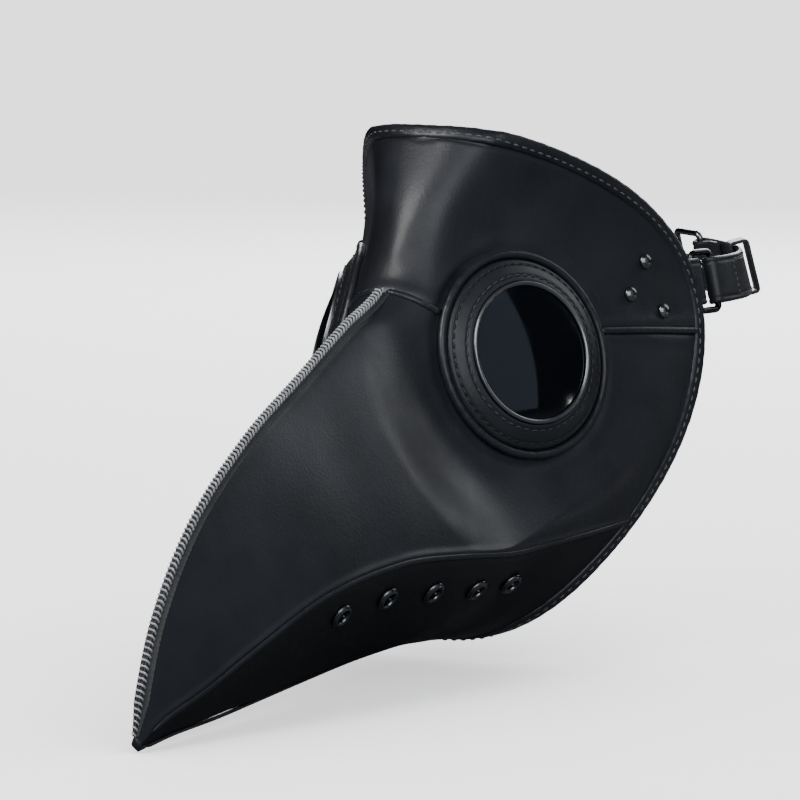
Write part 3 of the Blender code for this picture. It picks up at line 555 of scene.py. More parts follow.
def turned(name, profile, place, look, side=1, segments=EYE_SEGMENTS, sharp=35):
    """A profile of (radius, height) turned round the place's axis. It may start and end on the axis."""
    origin, z_axis = place[0], place[3]
    solid = profile[0][0] == 0
    ring = np.array(profile[1:-1] if solid else profile, float)
    points = origin + spokes_of(place, segments)[:, None] * ring[:, :1] + z_axis * ring[:, 1:]
    faces = grid_faces(segments, len(ring), wrap_columns=True, wrap_rows=not solid)
    points = points.reshape(-1, 3)
    if solid:
        first = len(points)
        points = np.vstack((points, [origin + z_axis * profile[end][1] for end in (0, -1)]))
        for k in range(segments):
            here = k * len(ring)
            beyond = (k + 1) % segments * len(ring)
            faces.append([first, beyond, here])
            faces.append([first + 1, here + len(ring) - 1, beyond + len(ring) - 1])
    return make(name, points, faces, [look], side, sharp=sharp)


def fresh_mesh(obj):
    """Applies the object's modifiers."""
    bpy.context.view_layer.update()
    evaluated = obj.evaluated_get(bpy.context.evaluated_depsgraph_get())
    mesh = bpy.data.meshes.new_from_object(evaluated)
    obj.modifiers.clear()
    obj.data = mesh


def cut_with(obj, cutter):
    cut = obj.modifiers.new("cut", "BOOLEAN")
    cut.operation = "DIFFERENCE"
    cut.solver = "EXACT"
    cut.object = cutter
    fresh_mesh(obj)
    bpy.data.objects.remove(cutter, do_unlink=True)


def holes_through(obj, places, radius, depth, side=1, segments=40):
    """Bores equal round holes through a leather piece."""
    points = []
    faces = []
    for place in places:
        faces += tube_faces(2, segments, len(points))
        for height in (-depth, depth):
            points.extend(place[0] + spokes_of(place, segments) * radius + place[3] * height)
    cut_with(obj, make(obj.name + "_cutter", points, faces, [], side))


def sew(name, points, normals, look, stitch, side=1, closed=False, slot="pale_thread", body="mask"):
    """Short raised stitches along a line, each sunk into the leather at its two ends."""
    length, spacing, radius = stitch
    if closed:
        points = np.vstack((points, points[:1]))
        normals = np.vstack((normals, normals[:1]))
    count = max(int(round(lengths_along(points)[-1] / spacing)), 2)
    line, outward = (values[1::2] for values in evenly(points, 2 * count + 1, normals))
    outward = unit(outward)
    along = tangents(line)
    across = unit(np.cross(outward, along))
    stations = np.linspace(-1, 1, 9)
    sides = 10
    rings = circle(radius, sides) * np.sqrt(1.02 - stations**4)[:, None, None]
    rings[..., 1] += radius * (0.45 - 1.1 * stations[:, None] ** 2)
    stitch_shape = np.column_stack((np.repeat(stations * length / 2, sides), rings.reshape(-1, 2)))
    faces = []
    for k in range(len(line)):
        faces += tube_faces(len(stations), sides, k * len(stitch_shape))
    vertices = line[:, None] + stitch_shape @ np.stack((along, across, outward), axis=1)
    fit(make(name, vertices, faces, [look], side, sharp=60), slot, body=body)


# ---------------------------------------------------------------- materials


class Look:
    """The shader nodes of a material or a world. Inputs take numbers, colours or a node's output."""

    def __init__(self, owner):
        owner.use_nodes = True
        self.owner = owner
        self.tree = owner.node_tree

    def feed(self, target, inputs):
        for key, value in inputs.items():
            if isinstance(value, bpy.types.NodeSocket):
                self.tree.links.new(value, target.inputs[key])
            else:
                target.inputs[key].default_value = value

    def finish(self, surface="Principled BSDF", **inputs):
        """Feeds the surface node, whose inputs are named with _ for each space."""
        inputs = {key.replace("_", " "): value for key, value in inputs.items()}
        self.feed(self.tree.nodes[surface], inputs)
        return self.owner

    def node(self, kind, output, inputs, **settings):
        """Adds a node and gives its named or numbered output."""
        made = self.tree.nodes.new(kind)
        for key, value in settings.items():
            setattr(made, key, value)
        self.feed(made, inputs)
        return made.outputs[output]

    def place(self, stretch=(1, 1, 1)):
        """The point's own place on the object, in metres, stretched along each axis."""
        place = self.node("ShaderNodeTexCoord", "Object", {})
        return self.node("ShaderNodeMapping", "Vector", {"Vector": place, "Scale": stretch})

    def noise(self, scale, detail=3.0, roughness=0.55, stretch=(1, 1, 1)):
        inputs = {"Scale": scale, "Detail": detail, "Roughness": roughness}
        return self.node("ShaderNodeTexNoise", "Fac", {"Vector": self.place(stretch), **inputs})

    def remap(self, value, low, high, to_low=0, to_high=1):
        inputs = {"From Min": low, "From Max": high, "To Min": to_low, "To Max": to_high}
        return self.node("ShaderNodeMapRange", "Result", {"Value": value, **inputs})

    def multiply(self, first, second):
        return self.node("ShaderNodeMath", 0, {0: first, 1: second}, operation="MULTIPLY")

    def add(self, first, second):
        return self.node("ShaderNodeMath", 0, {0: first, 1: second}, operation="ADD")

    def mix(self, share, first, second):
        inputs = {0: share, 6: first, 7: second}
        return self.node("ShaderNodeMix", 2, inputs, data_type="RGBA")

    def bump(self, height, strength, distance, **under):
        inputs = {"Height": height, "Strength": strength, "Distance": distance}
        return self.node("ShaderNodeBump", "Normal", {**inputs, **under})

    def edges(self, low, high):
        """1 on the proud edges of a piece and 0 on its flats."""
        return self.remap(self.node("ShaderNodeNewGeometry", "Pointiness", {}), low, high)

    def camera_ray(self):
        """1 where the camera sees a surface, 0 where light bounces off it."""
        return self.node("ShaderNodeLightPath", "Is Camera Ray", {})


def shade(colour, factor):
    return (*[min(channel * factor, 1) for channel in colour], 1)


def new_look(name):
    return Look(bpy.data.materials.new(name))


def leather(name, colour, roughness, grain=1150, relief=0.16, worn=2.6, coat=0.12):
    """Coated leather: fine pebble grain, faint cloudiness, and edges rubbed a little lighter."""
    look = new_look(name)
    cloud = look.remap(look.noise(26, 4), 0.35, 0.68)
    tint = look.mix(cloud, shade(colour, 0.78), shade(colour, 1.28))
    rub = look.multiply(look.edges(0.515, 0.60), look.remap(look.noise(210), 0.35, 0.7, 0.2, 1))
    cells = {"Vector": look.place(), "Scale": grain}
    pebbles = look.node("ShaderNodeTexVoronoi", "Distance", cells, feature="SMOOTH_F1")
    normal = look.bump(look.noise(95, 6, 0.62), 0.10, 0.0009)
    normal = look.bump(pebbles, relief, 0.00035, Normal=normal)
    return look.finish(
        Base_Color=look.mix(rub, tint, shade(colour, worn)),
        Roughness=look.remap(look.noise(60, 5), 0.3, 0.7, roughness - 0.06, roughness + 0.07),
        Normal=look.bump(look.noise(grain * 2.4, 2), relief * 0.5, 0.0002, Normal=normal),
        Coat_Weight=coat,
        Coat_Roughness=0.28,
        Specular_IOR_Level=0.42,
    )


def cloth_backing(name, colour, thread_scale):
    """A soft knitted backing with fuzz, its hollows painted darker as shade."""
    look = new_look(name)
    weave = []
    for direction in ("X", "Z"):
        inputs = {"Vector": look.place(), "Scale": thread_scale, "Distortion": 0.6, "Detail": 1.0}
        weave.append(look.node("ShaderNodeTexWave", "Fac", inputs, bands_direction=direction))
    height = look.add(look.multiply(*weave), look.multiply(look.noise(2600, 3), 0.7))
    # The colour darkens where the knit's height is low: painted shade in its hollows.
    return look.finish(
        Base_Color=look.mix(look.remap(height, 0.2, 1.3), shade(colour, 0.6), shade(colour, 1.4)),
        Normal=look.bump(height, 0.5, 0.0005),
        Roughness=0.95,
        Sheen_Weight=0.25,
    )


def thread(name, colour, roughness=0.75):
    """Waxed thread, with painted shade between its strands, and rubbed unevenly."""
    look = new_look(name)
    fibres_and_shade = look.noise(2400, 4)
    # The fibre noise raises the strands and also darkens the hollows between them: painted shade.
    tint = look.mix(look.remap(fibres_and_shade, 0.35, 0.65), shade(colour, 0.62), shade(colour, 1.15))
    rubbed = look.remap(look.noise(120), 0.42, 0.72, 0, 0.6)
    return look.finish(
        Base_Color=look.mix(rubbed, tint, shade(colour, 0.45)),
        Normal=look.bump(fibres_and_shade, 0.4, 0.0003),
        Roughness=roughness,
    )


def metal(name, colour, worn_colour, roughness, wear=0.7):
    """Finished metal with fine handling scratches and brighter rubbed edges."""
    look = new_look(name)
    scratches = look.noise(900, 5, 0.7, (1, 9, 1))
    smudge = look.noise(90)
    uneven = look.add(look.multiply(scratches, 0.5), look.multiply(smudge, 0.5))
    rub = look.multiply(look.edges(0.53, 0.64), wear)
    tint = look.mix(rub, shade(colour, 1), shade(worn_colour, 1))
    return look.finish(
        Base_Color=look.mix(look.remap(smudge, 0.4, 0.75, 0, 0.35), tint, shade(colour, 0.6)),
        Roughness=look.remap(uneven, 0.3, 0.7, roughness - 0.07, roughness + 0.12),
        Normal=look.bump(scratches, 0.06, 0.0001),
        Metallic=1.0,
    )


def tinted_lens():
    """Deep blue-black glossy sheet with faint smears and dust."""
    look = new_look("tinted_lens")
    dust = look.multiply(look.remap(look.noise(2200, 2), 0.66, 0.74), 0.25)
    smear = look.noise(45, 4, stretch=(1, 1, 3))
    return look.finish(
        Base_Color=look.mix(dust, (0.0035, 0.0045, 0.0065, 1), (0.05, 0.055, 0.06, 1)),
        Roughness=look.remap(smear, 0.35, 0.75, 0.05, 0.13),
        IOR=1.55,
        Coat_Weight=0.3,
        Coat_Roughness=0.04,
    )


def moulded_plastic(name, colour, roughness):
    """Satin moulded plastic with a spark-eroded texture."""
    look = new_look(name)
    speck = look.noise(1900)
    cloud = look.remap(look.noise(70), 0.35, 0.7)
    return look.finish(
        Base_Color=look.mix(cloud, shade(colour, 0.8), shade(colour, 1.3)),
        Normal=look.bump(speck, 0.18, 0.00015),
        Roughness=look.remap(speck, 0.3, 0.7, roughness - 0.05, roughness + 0.08),
    )


SIDE_LEATHER = leather("side_leather", (0.0145, 0.0162, 0.0208), 0.43)
# The under panels' leather is coloured darker than the side leather: painted shade on the beak's downward
# faces.
SHADED_UNDER_LEATHER = leather("under_leather", (0.0055, 0.0060, 0.0075), 0.55, coat=0.02)
CORD_LEATHER = leather("cord_leather", (0.013, 0.0145, 0.0185), 0.38, grain=1500, worn=3.6)
RING_LEATHER = leather("ring_leather", (0.0125, 0.0142, 0.0178), 0.42, grain=1250, worn=3.0)
STRAP_SKIN = leather("strap_skin", (0.014, 0.0155, 0.019), 0.46, grain=900, relief=0.24, worn=3.4)
CUT_EDGE = leather("cut_edge", (0.030, 0.030, 0.032), 0.62, grain=2600, relief=0.35, worn=2.0, coat=0)
BACKING = cloth_backing("cloth_backing", (0.028, 0.028, 0.031), 520)
PALE_THREAD = thread("pale_thread", (0.55, 0.565, 0.59))
GREY_THREAD = thread("grey_thread", (0.13, 0.135, 0.145))
DARK_THREAD = thread("dark_thread", (0.050, 0.052, 0.057))
BLACK_THREAD = thread("black_thread", (0.012, 0.0125, 0.0145), 0.6)
BLACK_METAL = metal("black_metal", (0.060, 0.063, 0.069), (0.42, 0.43, 0.45), 0.23, wear=0.3)
EYELET_METAL = metal("eyelet_metal", (0.15, 0.155, 0.165), (0.5, 0.51, 0.53), 0.20, wear=0.5)
RIM_METAL = metal("rim_metal", (0.22, 0.225, 0.235), (0.5, 0.51, 0.53), 0.30)
STEEL = metal("dark_steel", (0.20, 0.203, 0.21), (0.5, 0.51, 0.53), 0.23, wear=0.4)
LENS = tinted_lens()
PLASTIC = moulded_plastic("black_plastic", (0.018, 0.018, 0.020), 0.42)
FELT = cloth_backing("grey_felt", (0.05, 0.05, 0.055), 900)


# ---------------------------------------------------------------- leather relief


def soft_waves(points):
    """The slight unevenness of stretched leather."""
    random = np.random.default_rng(5)
    waves = np.zeros(points.shape[:-1])
    for _ in range(9):
        direction = unit(random.normal(size=3) * np.array((1, 1, 0.8)))
        length = random.uniform(26, 74)
        bend = 5 * np.sin(points[..., [1, 2, 0]] / random.uniform(21, 37))
        waves += np.sin(math.tau * ((points + bend) @ direction) / length + random.uniform(0, 6))
    return 0.075 * waves


def on_left(points):
    """The points brought to the wearer's left side."""
    return np.concatenate((np.abs(points[..., :1]), points[..., 1:]), axis=-1)


def eye_relief(points):
    """The groove outside the eye cord, the leather swelling beyond it and its small puckers."""
    _, radius, angle = eye_places(on_left(points))
    puckers = 1 + 0.55 * np.sin(15 * angle + 1.3 * np.sin(2 * angle)) * hump(radius, 42, 4)
    groove = -0.5 * hump(radius, EYE_CORD_CIRCLE + 2.2, 1.7)
    return groove + 0.22 * puckers * hump(radius, EYE_CORD_CIRCLE + 5.2, 2.6)


def calm_near_eye(points):
    """0 under the eye ring, 1 away from it."""
    return smooth_step((eye_places(on_left(points))[1] - EYE_CORD_CIRCLE) / 9)


def sewn_edge(distance, depth=0.9, swell=0.2):
    """Leather drawn down into a seam and swelling beside it."""
    return -depth * hump(distance, 0, 1.3) + swell * hump(distance, 3.8, 2.2)


def bound_edge(distance):
    """Leather pressed in beside the rear binding."""
    return -0.45 * hump(distance, 4.6, 1.0)


def dimples(points, places, depth, reach):
    """The leather pressed in round a fastener."""
    pressed = np.zeros(points.shape[:-1])
    for origin, *_ in places:
        pressed -= depth * hump(np.linalg.norm(points - origin, axis=-1), 0, reach)
    return pressed


def border_distances(points):
    """Distance of each grid point from the first row, the last row and the last column."""
    from_first = lengths_along(points, 1)
    from_start = lengths_along(points, 0)
    return from_first, from_first[:, -1:] - from_first, from_start[-1:] - from_start


def tip_narrowing(station):
    """How thin the leather gets toward the beak's tip."""
    return np.clip(0.3 + station / 0.1, 0, 1)


def panel(name, station, around, lift, look, side=1, halved=True):
    """A closed leather sheet over a grid of places: outer face, cloth inner face and cut edges."""
    points = skin(station, around)
    normals = skin_normal(station, around)
    thick = LEATHER * tip_narrowing(station) - np.minimum(lift, 0)
    layers = (points + normals * lift[..., None], points - normals * thick[..., None])
    for layer in layers:
        for border, beside in ((0, 1), (-1, -2)):
            layer[:, border] += unit(layer[:, beside] - layer[:, border]) * SEAM_GAP
        if halved:
            layer[..., 0] = np.maximum(layer[..., 0], SEAM_GAP)
    columns, rows = station.shape
    count = columns * rows
    order = np.arange(count).reshape(columns, rows)
    border = np.concatenate((order[:, 0], order[-1, 1:], order[-2::-1, -1], order[0, -2:0:-1]))
    beyond = np.roll(border, -1)
    outer = grid_faces(columns, rows)
    inner = [face[::-1] for face in grid_faces(columns, rows, count)]
    rim = np.stack((border, beyond, beyond + count, border + count), -1).tolist()
    look_index = np.repeat((0, 1, 2), (len(outer), len(inner), len(rim)))
    return make(name, np.stack(layers), outer + inner + rim, [look, BACKING, CUT_EDGE], side, look_index)


def side_grid(shares):
    """Places on a side panel, whose lines gather at the brow point and run evenly below it."""
    even = np.linspace(0, 1, SIDE_COLUMNS)
    behind = np.clip((even - BROW_STATION) / (1 - BROW_STATION), 0, 1)
    gathered = even - (1 - BROW_STATION) * (behind - behind**2)
    fan = smooth_step(2.5 * shares)
    station = gathered[:, None] + (even - gathered)[:, None] * fan
    top = brow_around(gathered)[:, None]
    return station, top + (seam_around(even)[:, None] - top) * shares


def toward_ends(count, strength=0.72):
    """Shares from 0 to 1, drawn together at both ends."""
    even = np.linspace(0, 1, count)
    return even - strength * np.sin(math.tau * even) / math.tau


def eye_hole(obj, side):
    holes_through(obj, [eye_place()], EYE_HOLE_RADIUS, EYE_CUT_DEPTH, side, EYE_CUT_SEGMENTS)


def beak_leather(side):
    station, around = side_grid(toward_ends(SIDE_ROWS))
    points = skin(station, around)
    from_top, from_bottom, from_rear = border_distances(points)
    behind_brow = smooth_step((station - BROW_STATION + 0.012) / 0.02)
    narrow = smooth_step(station / 0.12)
    ridge_rise = 1.5 * hump(from_top, 0, 1.7) * tip_narrowing(station)
    lift = soft_waves(points) * narrow * calm_near_eye(points) + eye_relief(points)
    lift += ridge_rise * (1 - behind_brow) + sewn_edge(from_top) * behind_brow
    lift += (0.55 * hump(from_bottom, 1.6, 1.5) - 0.9 * hump(from_bottom, 0, 0.8)) * narrow
    lift += bound_edge(from_rear)
    obj = panel("beak_leather_" + side_name(side), station, around, lift, SIDE_LEATHER, side)
    eye_hole(obj, side)
    fit(obj, "black_leather", "beak_panel_" + side_name(side))


def under_leather(side):
    stations = np.linspace(0, 1, SIDE_COLUMNS)[:, None]
    top = seam_around(stations)
    around = top + (1 - top) * toward_ends(UNDER_ROWS)
    station = np.broadcast_to(stations, around.shape)
    points = skin(station, around)
    places = eyelet_places()
    from_top, from_bottom, from_rear = border_distances(points)
    seams = sewn_edge(from_top, 1.3) + sewn_edge(from_bottom, 0.5)
    lift = (soft_waves(points) + seams) * smooth_step(station / 0.12)
    lift += bound_edge(from_rear) + dimples(points, places, 0.7, 6.5)
    # The under panel takes the darker leather: painted shade under the beak.
    obj = panel("under_leather_" + side_name(side), station, around, lift, SHADED_UNDER_LEATHER, side)
    holes_through(obj, places, EYELET_BORE + EYELET_NECK, EYELET_CUT_DEPTH, side)
    fit(obj, "dark_leather", "under_beak_panel_" + side_name(side))


def forehead_leather():
    share = signed_power(np.linspace(-1, 1, FOREHEAD_COLUMNS), 1.3)[:, None]
    rows = toward_ends(FOREHEAD_ROWS, 0.6)
    brow_station = BROW_STATION + (1 - BROW_STATION) * share**2
    brow = BROW_END * np.abs(share)
    station = brow_station + (1 - brow_station) * rows
    around = np.sign(share) * (brow + (TEMPLE_TOP * share**2 - brow) * rows)
    points = skin(station, around)
    from_brow, from_rear, _ = border_distances(points)
    lift = soft_waves(points + np.array((0, 0, 90))) * calm_near_eye(points) + eye_relief(points)
    lift += sewn_edge(from_brow) + bound_edge(from_rear)
    lift += dimples(on_left(points), rivet_places(), 0.5, 5)
    obj = panel("forehead_leather", station, around, lift, SIDE_LEATHER, halved=False)
    for side in (1, -1):
        eye_hole(obj, side)
    fit(obj, "black_leather", "forehead_panel")


# ---------------------------------------------------------------- seams


def ridge_line(count):
    """The ridge from tip to brow: points, normals, distances and how far it has widened."""
    station = np.linspace(0, RIDGE_END, 600)
    level = np.array((0, 1, 1))
    points, normals = evenly(skin(station, 0) * level, count, skin_normal(station, 0) * level)
    travelled = lengths_along(points)
    return points, unit(normals), travelled, np.clip(0.42 + travelled / 22, 0, 1)


def ridge_flange():
    """The two panel edges standing up together along the ridge."""
    half, height = FLANGE_HALF, FLANGE_HEIGHT
    foot = ((2.2, -0.7), (3.2, 0.2), (1.7, 0.8), (half, 1.7))
    side = (*foot, (half, height - 0.3), (half * 0.75, height), (0.25, height))
    other = [(-across, up) for across, up in reversed(side)]
    outline = eased_outline((*side, (0, height - 0.6), *other), 0.4, 3)
    points, normals, travelled, narrow = ridge_line(340)
    pinch = 1 + 0.05 * np.sin(math.tau * travelled / WHIP_PITCH)
    sections = outline * np.stack((narrow * pinch, 0.35 + 0.65 * narrow), -1)[:, None]
    obj = swept("ridge_flange", points, (1, 0, 0), normals, sections, CUT_EDGE)
    fit(obj, "black_leather", "ridge_welt")


def tip_fold():
    """The leather folded over the front of the beak, closing its point."""
    around = np.append(np.linspace(0, 1, 30), np.ones(6))
    station = np.append(np.zeros(30), np.linspace(0.004, 0.022, 6))
    edge = skin(station, around)
    bulge = np.sin(math.pi * around)
    centres = edge * np.array((0, 1, 1))
    centres[:, 1] -= 0.55 * bulge
    outward = np.cross((1, 0, 0), tangents(centres))
    sections = circle(1, 18) * np.stack((edge[:, 0] + 0.5, 0.75 + 0.35 * bulge), -1)[:, None]
    obj = swept("beak_tip_fold", centres, (1, 0, 0), outward, sections, CORD_LEATHER)
    fit(obj, "black_leather")


def whip_stitching():
    """Pale thread wound over the flange from the tip to the brow."""
    points, normals, travelled, narrow = ridge_line(2600)
    turn = math.tau * travelled / WHIP_PITCH
    reach = 1.1
    middle = (0.35 + 0.65 * narrow) * (FLANGE_HEIGHT + WHIP_THREAD * 0.45) - reach
    across = (FLANGE_HALF + WHIP_THREAD * 0.55) * narrow * signed_power(np.cos(turn), 0.6)
    over = np.where(np.sin(turn) > 0, signed_power(np.sin(turn), 0.6), np.sin(turn))
    sideways = np.array((1, 0, 0))
    line = points + sideways * across[:, None] + normals * (middle + reach * over)[:, None]
    along = tangents(line)
    first = unit(np.cross(along, normals + 0.01 * sideways))
    sections = np.stack([circle(WHIP_THREAD, 9, 3, 0.13, 9 * arc) for arc in travelled])
    sections *= (0.6 + 0.4 * narrow)[:, None, None]
    second = np.cross(first, along)
    obj = swept("ridge_whip_stitching", line, first, second, sections, PALE_THREAD, sharp=80)
    fit(obj, "pale_thread", "ridge_stitching")


def skin_cord(name, node, station, around, radius, lift, side=1, taper=4):
    """A leather-covered cord lying in a seam, with both ends tucked down."""
    points, normals = evenly(skin(station, around), len(station), skin_normal(station, around))
    normals = unit(normals)
    across = unit(np.cross(normals, tangents(points)))
    travelled = lengths_along(points)
    ends = np.minimum(travelled, travelled[-1] - travelled)
    slim = np.sqrt(np.clip(ends / taper, 0.02, 1))
    ripple = 1 + 0.03 * np.sin(travelled * 1.9) + 0.02 * np.sin(travelled * 4.3)
    sections = circle(radius, 16) * np.array((1.15, 0.8)) * (slim * ripple)[:, None, None]
    centres = points + normals * (lift * slim)[:, None]
    # The keel cord takes the under panels' darker leather: painted shade under the beak.
    look, slot = (SHADED_UNDER_LEATHER, "dark_leather") if node == "keel_welt" else (CORD_LEATHER, "black_leather")
    fit(swept(name, centres, across, normals, sections, look, side=side), slot, node)


def seam_cords(side):
    tag = side_name(side)
    share = np.linspace(0, 0.992, 700)
    radius = eye_places(skin(BROW_STATION + (1 - BROW_STATION) * share**2, BROW_END * share))[1]
    outside = radius > EYE_CORD_CIRCLE + EYE_CORD
    eye_share = share[~outside].mean()
    for name, keep in (("brow", share < eye_share), ("temple", share > eye_share)):
        ends = share[outside & keep][[0, -1]]
        picked = np.linspace(*ends, 90)
        station = BROW_STATION + (1 - BROW_STATION) * picked**2
        names = f"{name}_cord_{tag}", f"{name}_piping_{tag}"
        skin_cord(*names, station, BROW_END * picked, SEAM_CORD, 0.35, side, taper=1.5)
    station = np.linspace(0.03, 0.985, 260)
    names = "lower_seam_cord_" + tag, "lower_seam_piping_" + tag
    skin_cord(*names, station, seam_around(station), LOWER_CORD, 0.15, side)


def keel_cord():
    station = np.linspace(0.02, 0.985, 220)
    skin_cord("keel_cord", "keel_welt", station, np.ones(220), KEEL_CORD, 0.3)


def rear_rim(count):
    """The rear edge: middle of the leather, outward and normal. The right half mirrors the left."""
    share = np.linspace(0, 1, 400)
    around = np.where(share > 0.5, smooth_step(share), 2 * share**2)
    step = 0.004
    normals = skin_normal(1.0, around)
    edge = skin(1.0, around)
    outward = unit(np.cross(normals, skin(1.0, around + step) - skin(1.0, around - step)))
    outward *= np.sign(np.sum(outward * (edge - skin(0.97, around)), axis=-1))[:, None]
    middle, outward, normals = evenly(edge - normals * LEATHER / 2, count, outward, normals)
    whole = []
    for values in (middle, unit(outward), unit(normals)):
        values[[0, -1], 0] = 0
        whole.append(np.vstack((values, values[-2:0:-1] * np.array((-1, 1, 1)))))
    return whole


def rear_binding():
    """A leather strip folded over the whole rear edge, with a sewn line on its outer face."""
    middle, outward, normals = rear_rim(300)
    travelled = lengths_along(middle)
    angle = turns(26)
    ripple = 1 + 0.035 * np.sin(travelled * 0.9) * np.sin(travelled * 0.23)
    reach_out = signed_power(np.cos(angle), 0.8) * 3.0 - 0.4
    section = np.stack((reach_out, signed_power(np.sin(angle), 0.7) * 1.65), -1)
    sections = section * ripple[:, None, None]
    obj = swept("rear_binding", middle, outward, normals, sections, CORD_LEATHER, closed=True)
    fit(obj, "dark_leather", "edge_binding")
    line = middle - outward * 1.3 + normals * 1.6
    sew("rear_binding_stitches", line, normals, GREY_THREAD, BINDING_STITCH, closed=True)


# ---------------------------------------------------------------- eyes


def eye_cord(side):
    """The padded leather cord round the ring, with its butt join at the bottom."""
    place = eye_place()
    angle = turns(240)
    spokes = spokes_of(place, 240)
    join = np.angle(np.exp(1j * (angle + math.pi / 2 + 0.08)))
    ripple = 1 + 0.02 * np.sin(37 * angle) + 0.015 * np.sin(61 * angle + 1) - 0.22 * hump(join, 0, 0.016)
    sections = circle(EYE_CORD, 20) * ripple[:, None, None]
    centres = place[0] + spokes * EYE_CORD_CIRCLE + place[3] * (EYE_CORD * 0.85)
    name = "eye_cord_" + side_name(side)
    obj = swept(name, centres, spokes, place[3], sections, CORD_LEATHER, closed=True, side=side)
    fit(obj, "black_leather", "eye_piping_" + side_name(side))


def ring_height(radius):
    """Height of the ring's sloping face, pressed in under its two sewn rows."""
    share = (RING_OUTER - radius) / (RING_OUTER - RING_INNER)
    height = 2.2 + 3.9 * share**0.9 + 0.35 * np.sin(math.pi * share)
    return height - 0.30 * hump(radius, RING_OUTER_ROW, 0.55) - 0.26 * hump(radius, RING_INNER_ROW, 0.55)


def eye_ring(side):
    """The raised leather washer with its two sewn rows."""
    tag = side_name(side)
    place = eye_place()
    radii = np.linspace(RING_OUTER - 0.7, RING_INNER + 0.7, 40)
    profile = [(RING_OUTER - 2, 0.1), (RING_OUTER, 0.1), (RING_OUTER + 0.05, 1.5)]
    profile += list(zip(radii, ring_height(radii)))
    profile += [(RING_INNER, 6.0), (RING_INNER, 4.2)]
    obj = turned("eye_ring_leather_" + tag, profile, place, RING_LEATHER, side)
    fit(obj, "black_leather", "eye_ring_" + tag)
    spokes = spokes_of(place, 240)
    normals = unit(place[3] * 0.9 + spokes * 0.42)
    for name, row, proud, look, slot in (
        ("outer", RING_OUTER_ROW, 0.08, BLACK_THREAD, "black_leather"),
        ("inner", RING_INNER_ROW, 0.11, DARK_THREAD, "pale_thread"),
    ):
        line = place[0] + spokes * row + place[3] * (ring_height(row) + proud)
        name = f"eye_ring_{name}_stitches_{tag}"
        sew(name, line, normals, look, RING_STITCH, side, closed=True, slot=slot)


def lens_parts(side):
    """The metal bezel, the domed lens and the plastic ring that holds it from behind."""
    bezel = ((27.3, 3.6), (27.35, 6.7), (27.0, 7.3), (26.2, 7.35))
    bezel += ((25.5, 6.9), (25.5, 6.4), (26.2, 6.2), (26.2, 3.6))
    dome = [(0, LENS_UNDERSIDE), (LENS_RADIUS, LENS_UNDERSIDE), (LENS_RADIUS, LENS_EDGE)]
    for radius in np.linspace(LENS_RADIUS - 0.6, 0.8, 30):
        dome.append((radius, LENS_EDGE + LENS_DOME * (1 - (radius / LENS_RADIUS) ** 2)))
    dome.append((0, LENS_EDGE + LENS_DOME))
    flange = -LEATHER - 0.4
    retainer = ((24.0, 3.9), (25.7, 3.9), (25.7, 3.3), (28.4, 3.3), (28.4, flange))
    retainer += ((34.0, flange), (34.0, flange - 1.5), (24.0, flange - 1.5))
    for name, profile, look, slot, node, sharp in (
        ("lens_rim", eased_outline(bezel, 0.35), RIM_METAL, "black_metal", "lens_bezel", 35),
        ("lens_dome", dome, LENS, "tinted_lens", "lens", 30),
        ("lens_backing_ring", eased_outline(retainer, 0.3), PLASTIC, "black_plastic", "lens_retainer", 35),
    ):
        obj = turned(f"{name}_{side_name(side)}", profile, eye_place(), look, side, sharp=sharp)
        fit(obj, slot, f"{node}_{side_name(side)}")


# ---------------------------------------------------------------- eyelets and rivets


def fasteners(side, places, profile, look, slot, name, node):
    """The same turned piece at each place."""
    for number, place in enumerate(places, 1):
        tag = f"_{side_name(side)}_{number}"
        fit(turned(name + tag, profile, place, look, side, FASTENER_SEGMENTS), slot, node + tag)


def vent_grommets(side):
    """Pressed metal eyelets, rolled on the outside and flattened on the inside."""
    inside = -LEATHER - 0.7
    bore, flange = EYELET_BORE, EYELET_FLANGE
    rolled = ((bore + 0.35, 1.5), (bore + 1.1, 1.7), (flange - 0.4, 0.9), (flange, 0.1), (flange - 0.5, -0.3))
    neck = ((bore + 0.4, -0.1), (bore + 0.4, inside), (flange - 0.8, inside), (flange - 0.8, inside - 0.5))
    profile = eased_outline(((bore, inside - 0.5), (bore, 0.7), *rolled, *neck), 0.5)
    fasteners(side, eyelet_places(), profile, EYELET_METAL, "black_metal", "vent_grommet", "vent_eyelet")


def temple_rivets(side):
    """Domed rivet caps with a rolled foot, and their tails under the strap tab."""
    tail = -TAB_DEPTH - STRAP_LEATHER / 2 - TAB_SAG
    cap = RIVET_CAP
    stem = ((0, tail - 1.2), (cap - 0.4, tail - 1.2), (cap - 0.4, tail), (1.1, tail), (1.1, -0.2))
    dome = ((cap - 0.2, -0.2), (cap, 0.5), (cap * 0.86, 1.05), (cap * 0.55, 1.65), (0, 1.95))
    profile = eased_outline((*stem, *dome), 0.5, closed=False)
    fasteners(side, rivet_places(), profile, STEEL, "steel", "temple_rivet_cap", "temple_rivet")


# ---------------------------------------------------------------- forehead cushion


def cushion_box():
    """The middle and half sizes of the cushion's room."""
    low, high = (np.array(corner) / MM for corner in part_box("forehead_pad"))
    return (high + low) / 2, (high - low) / 2


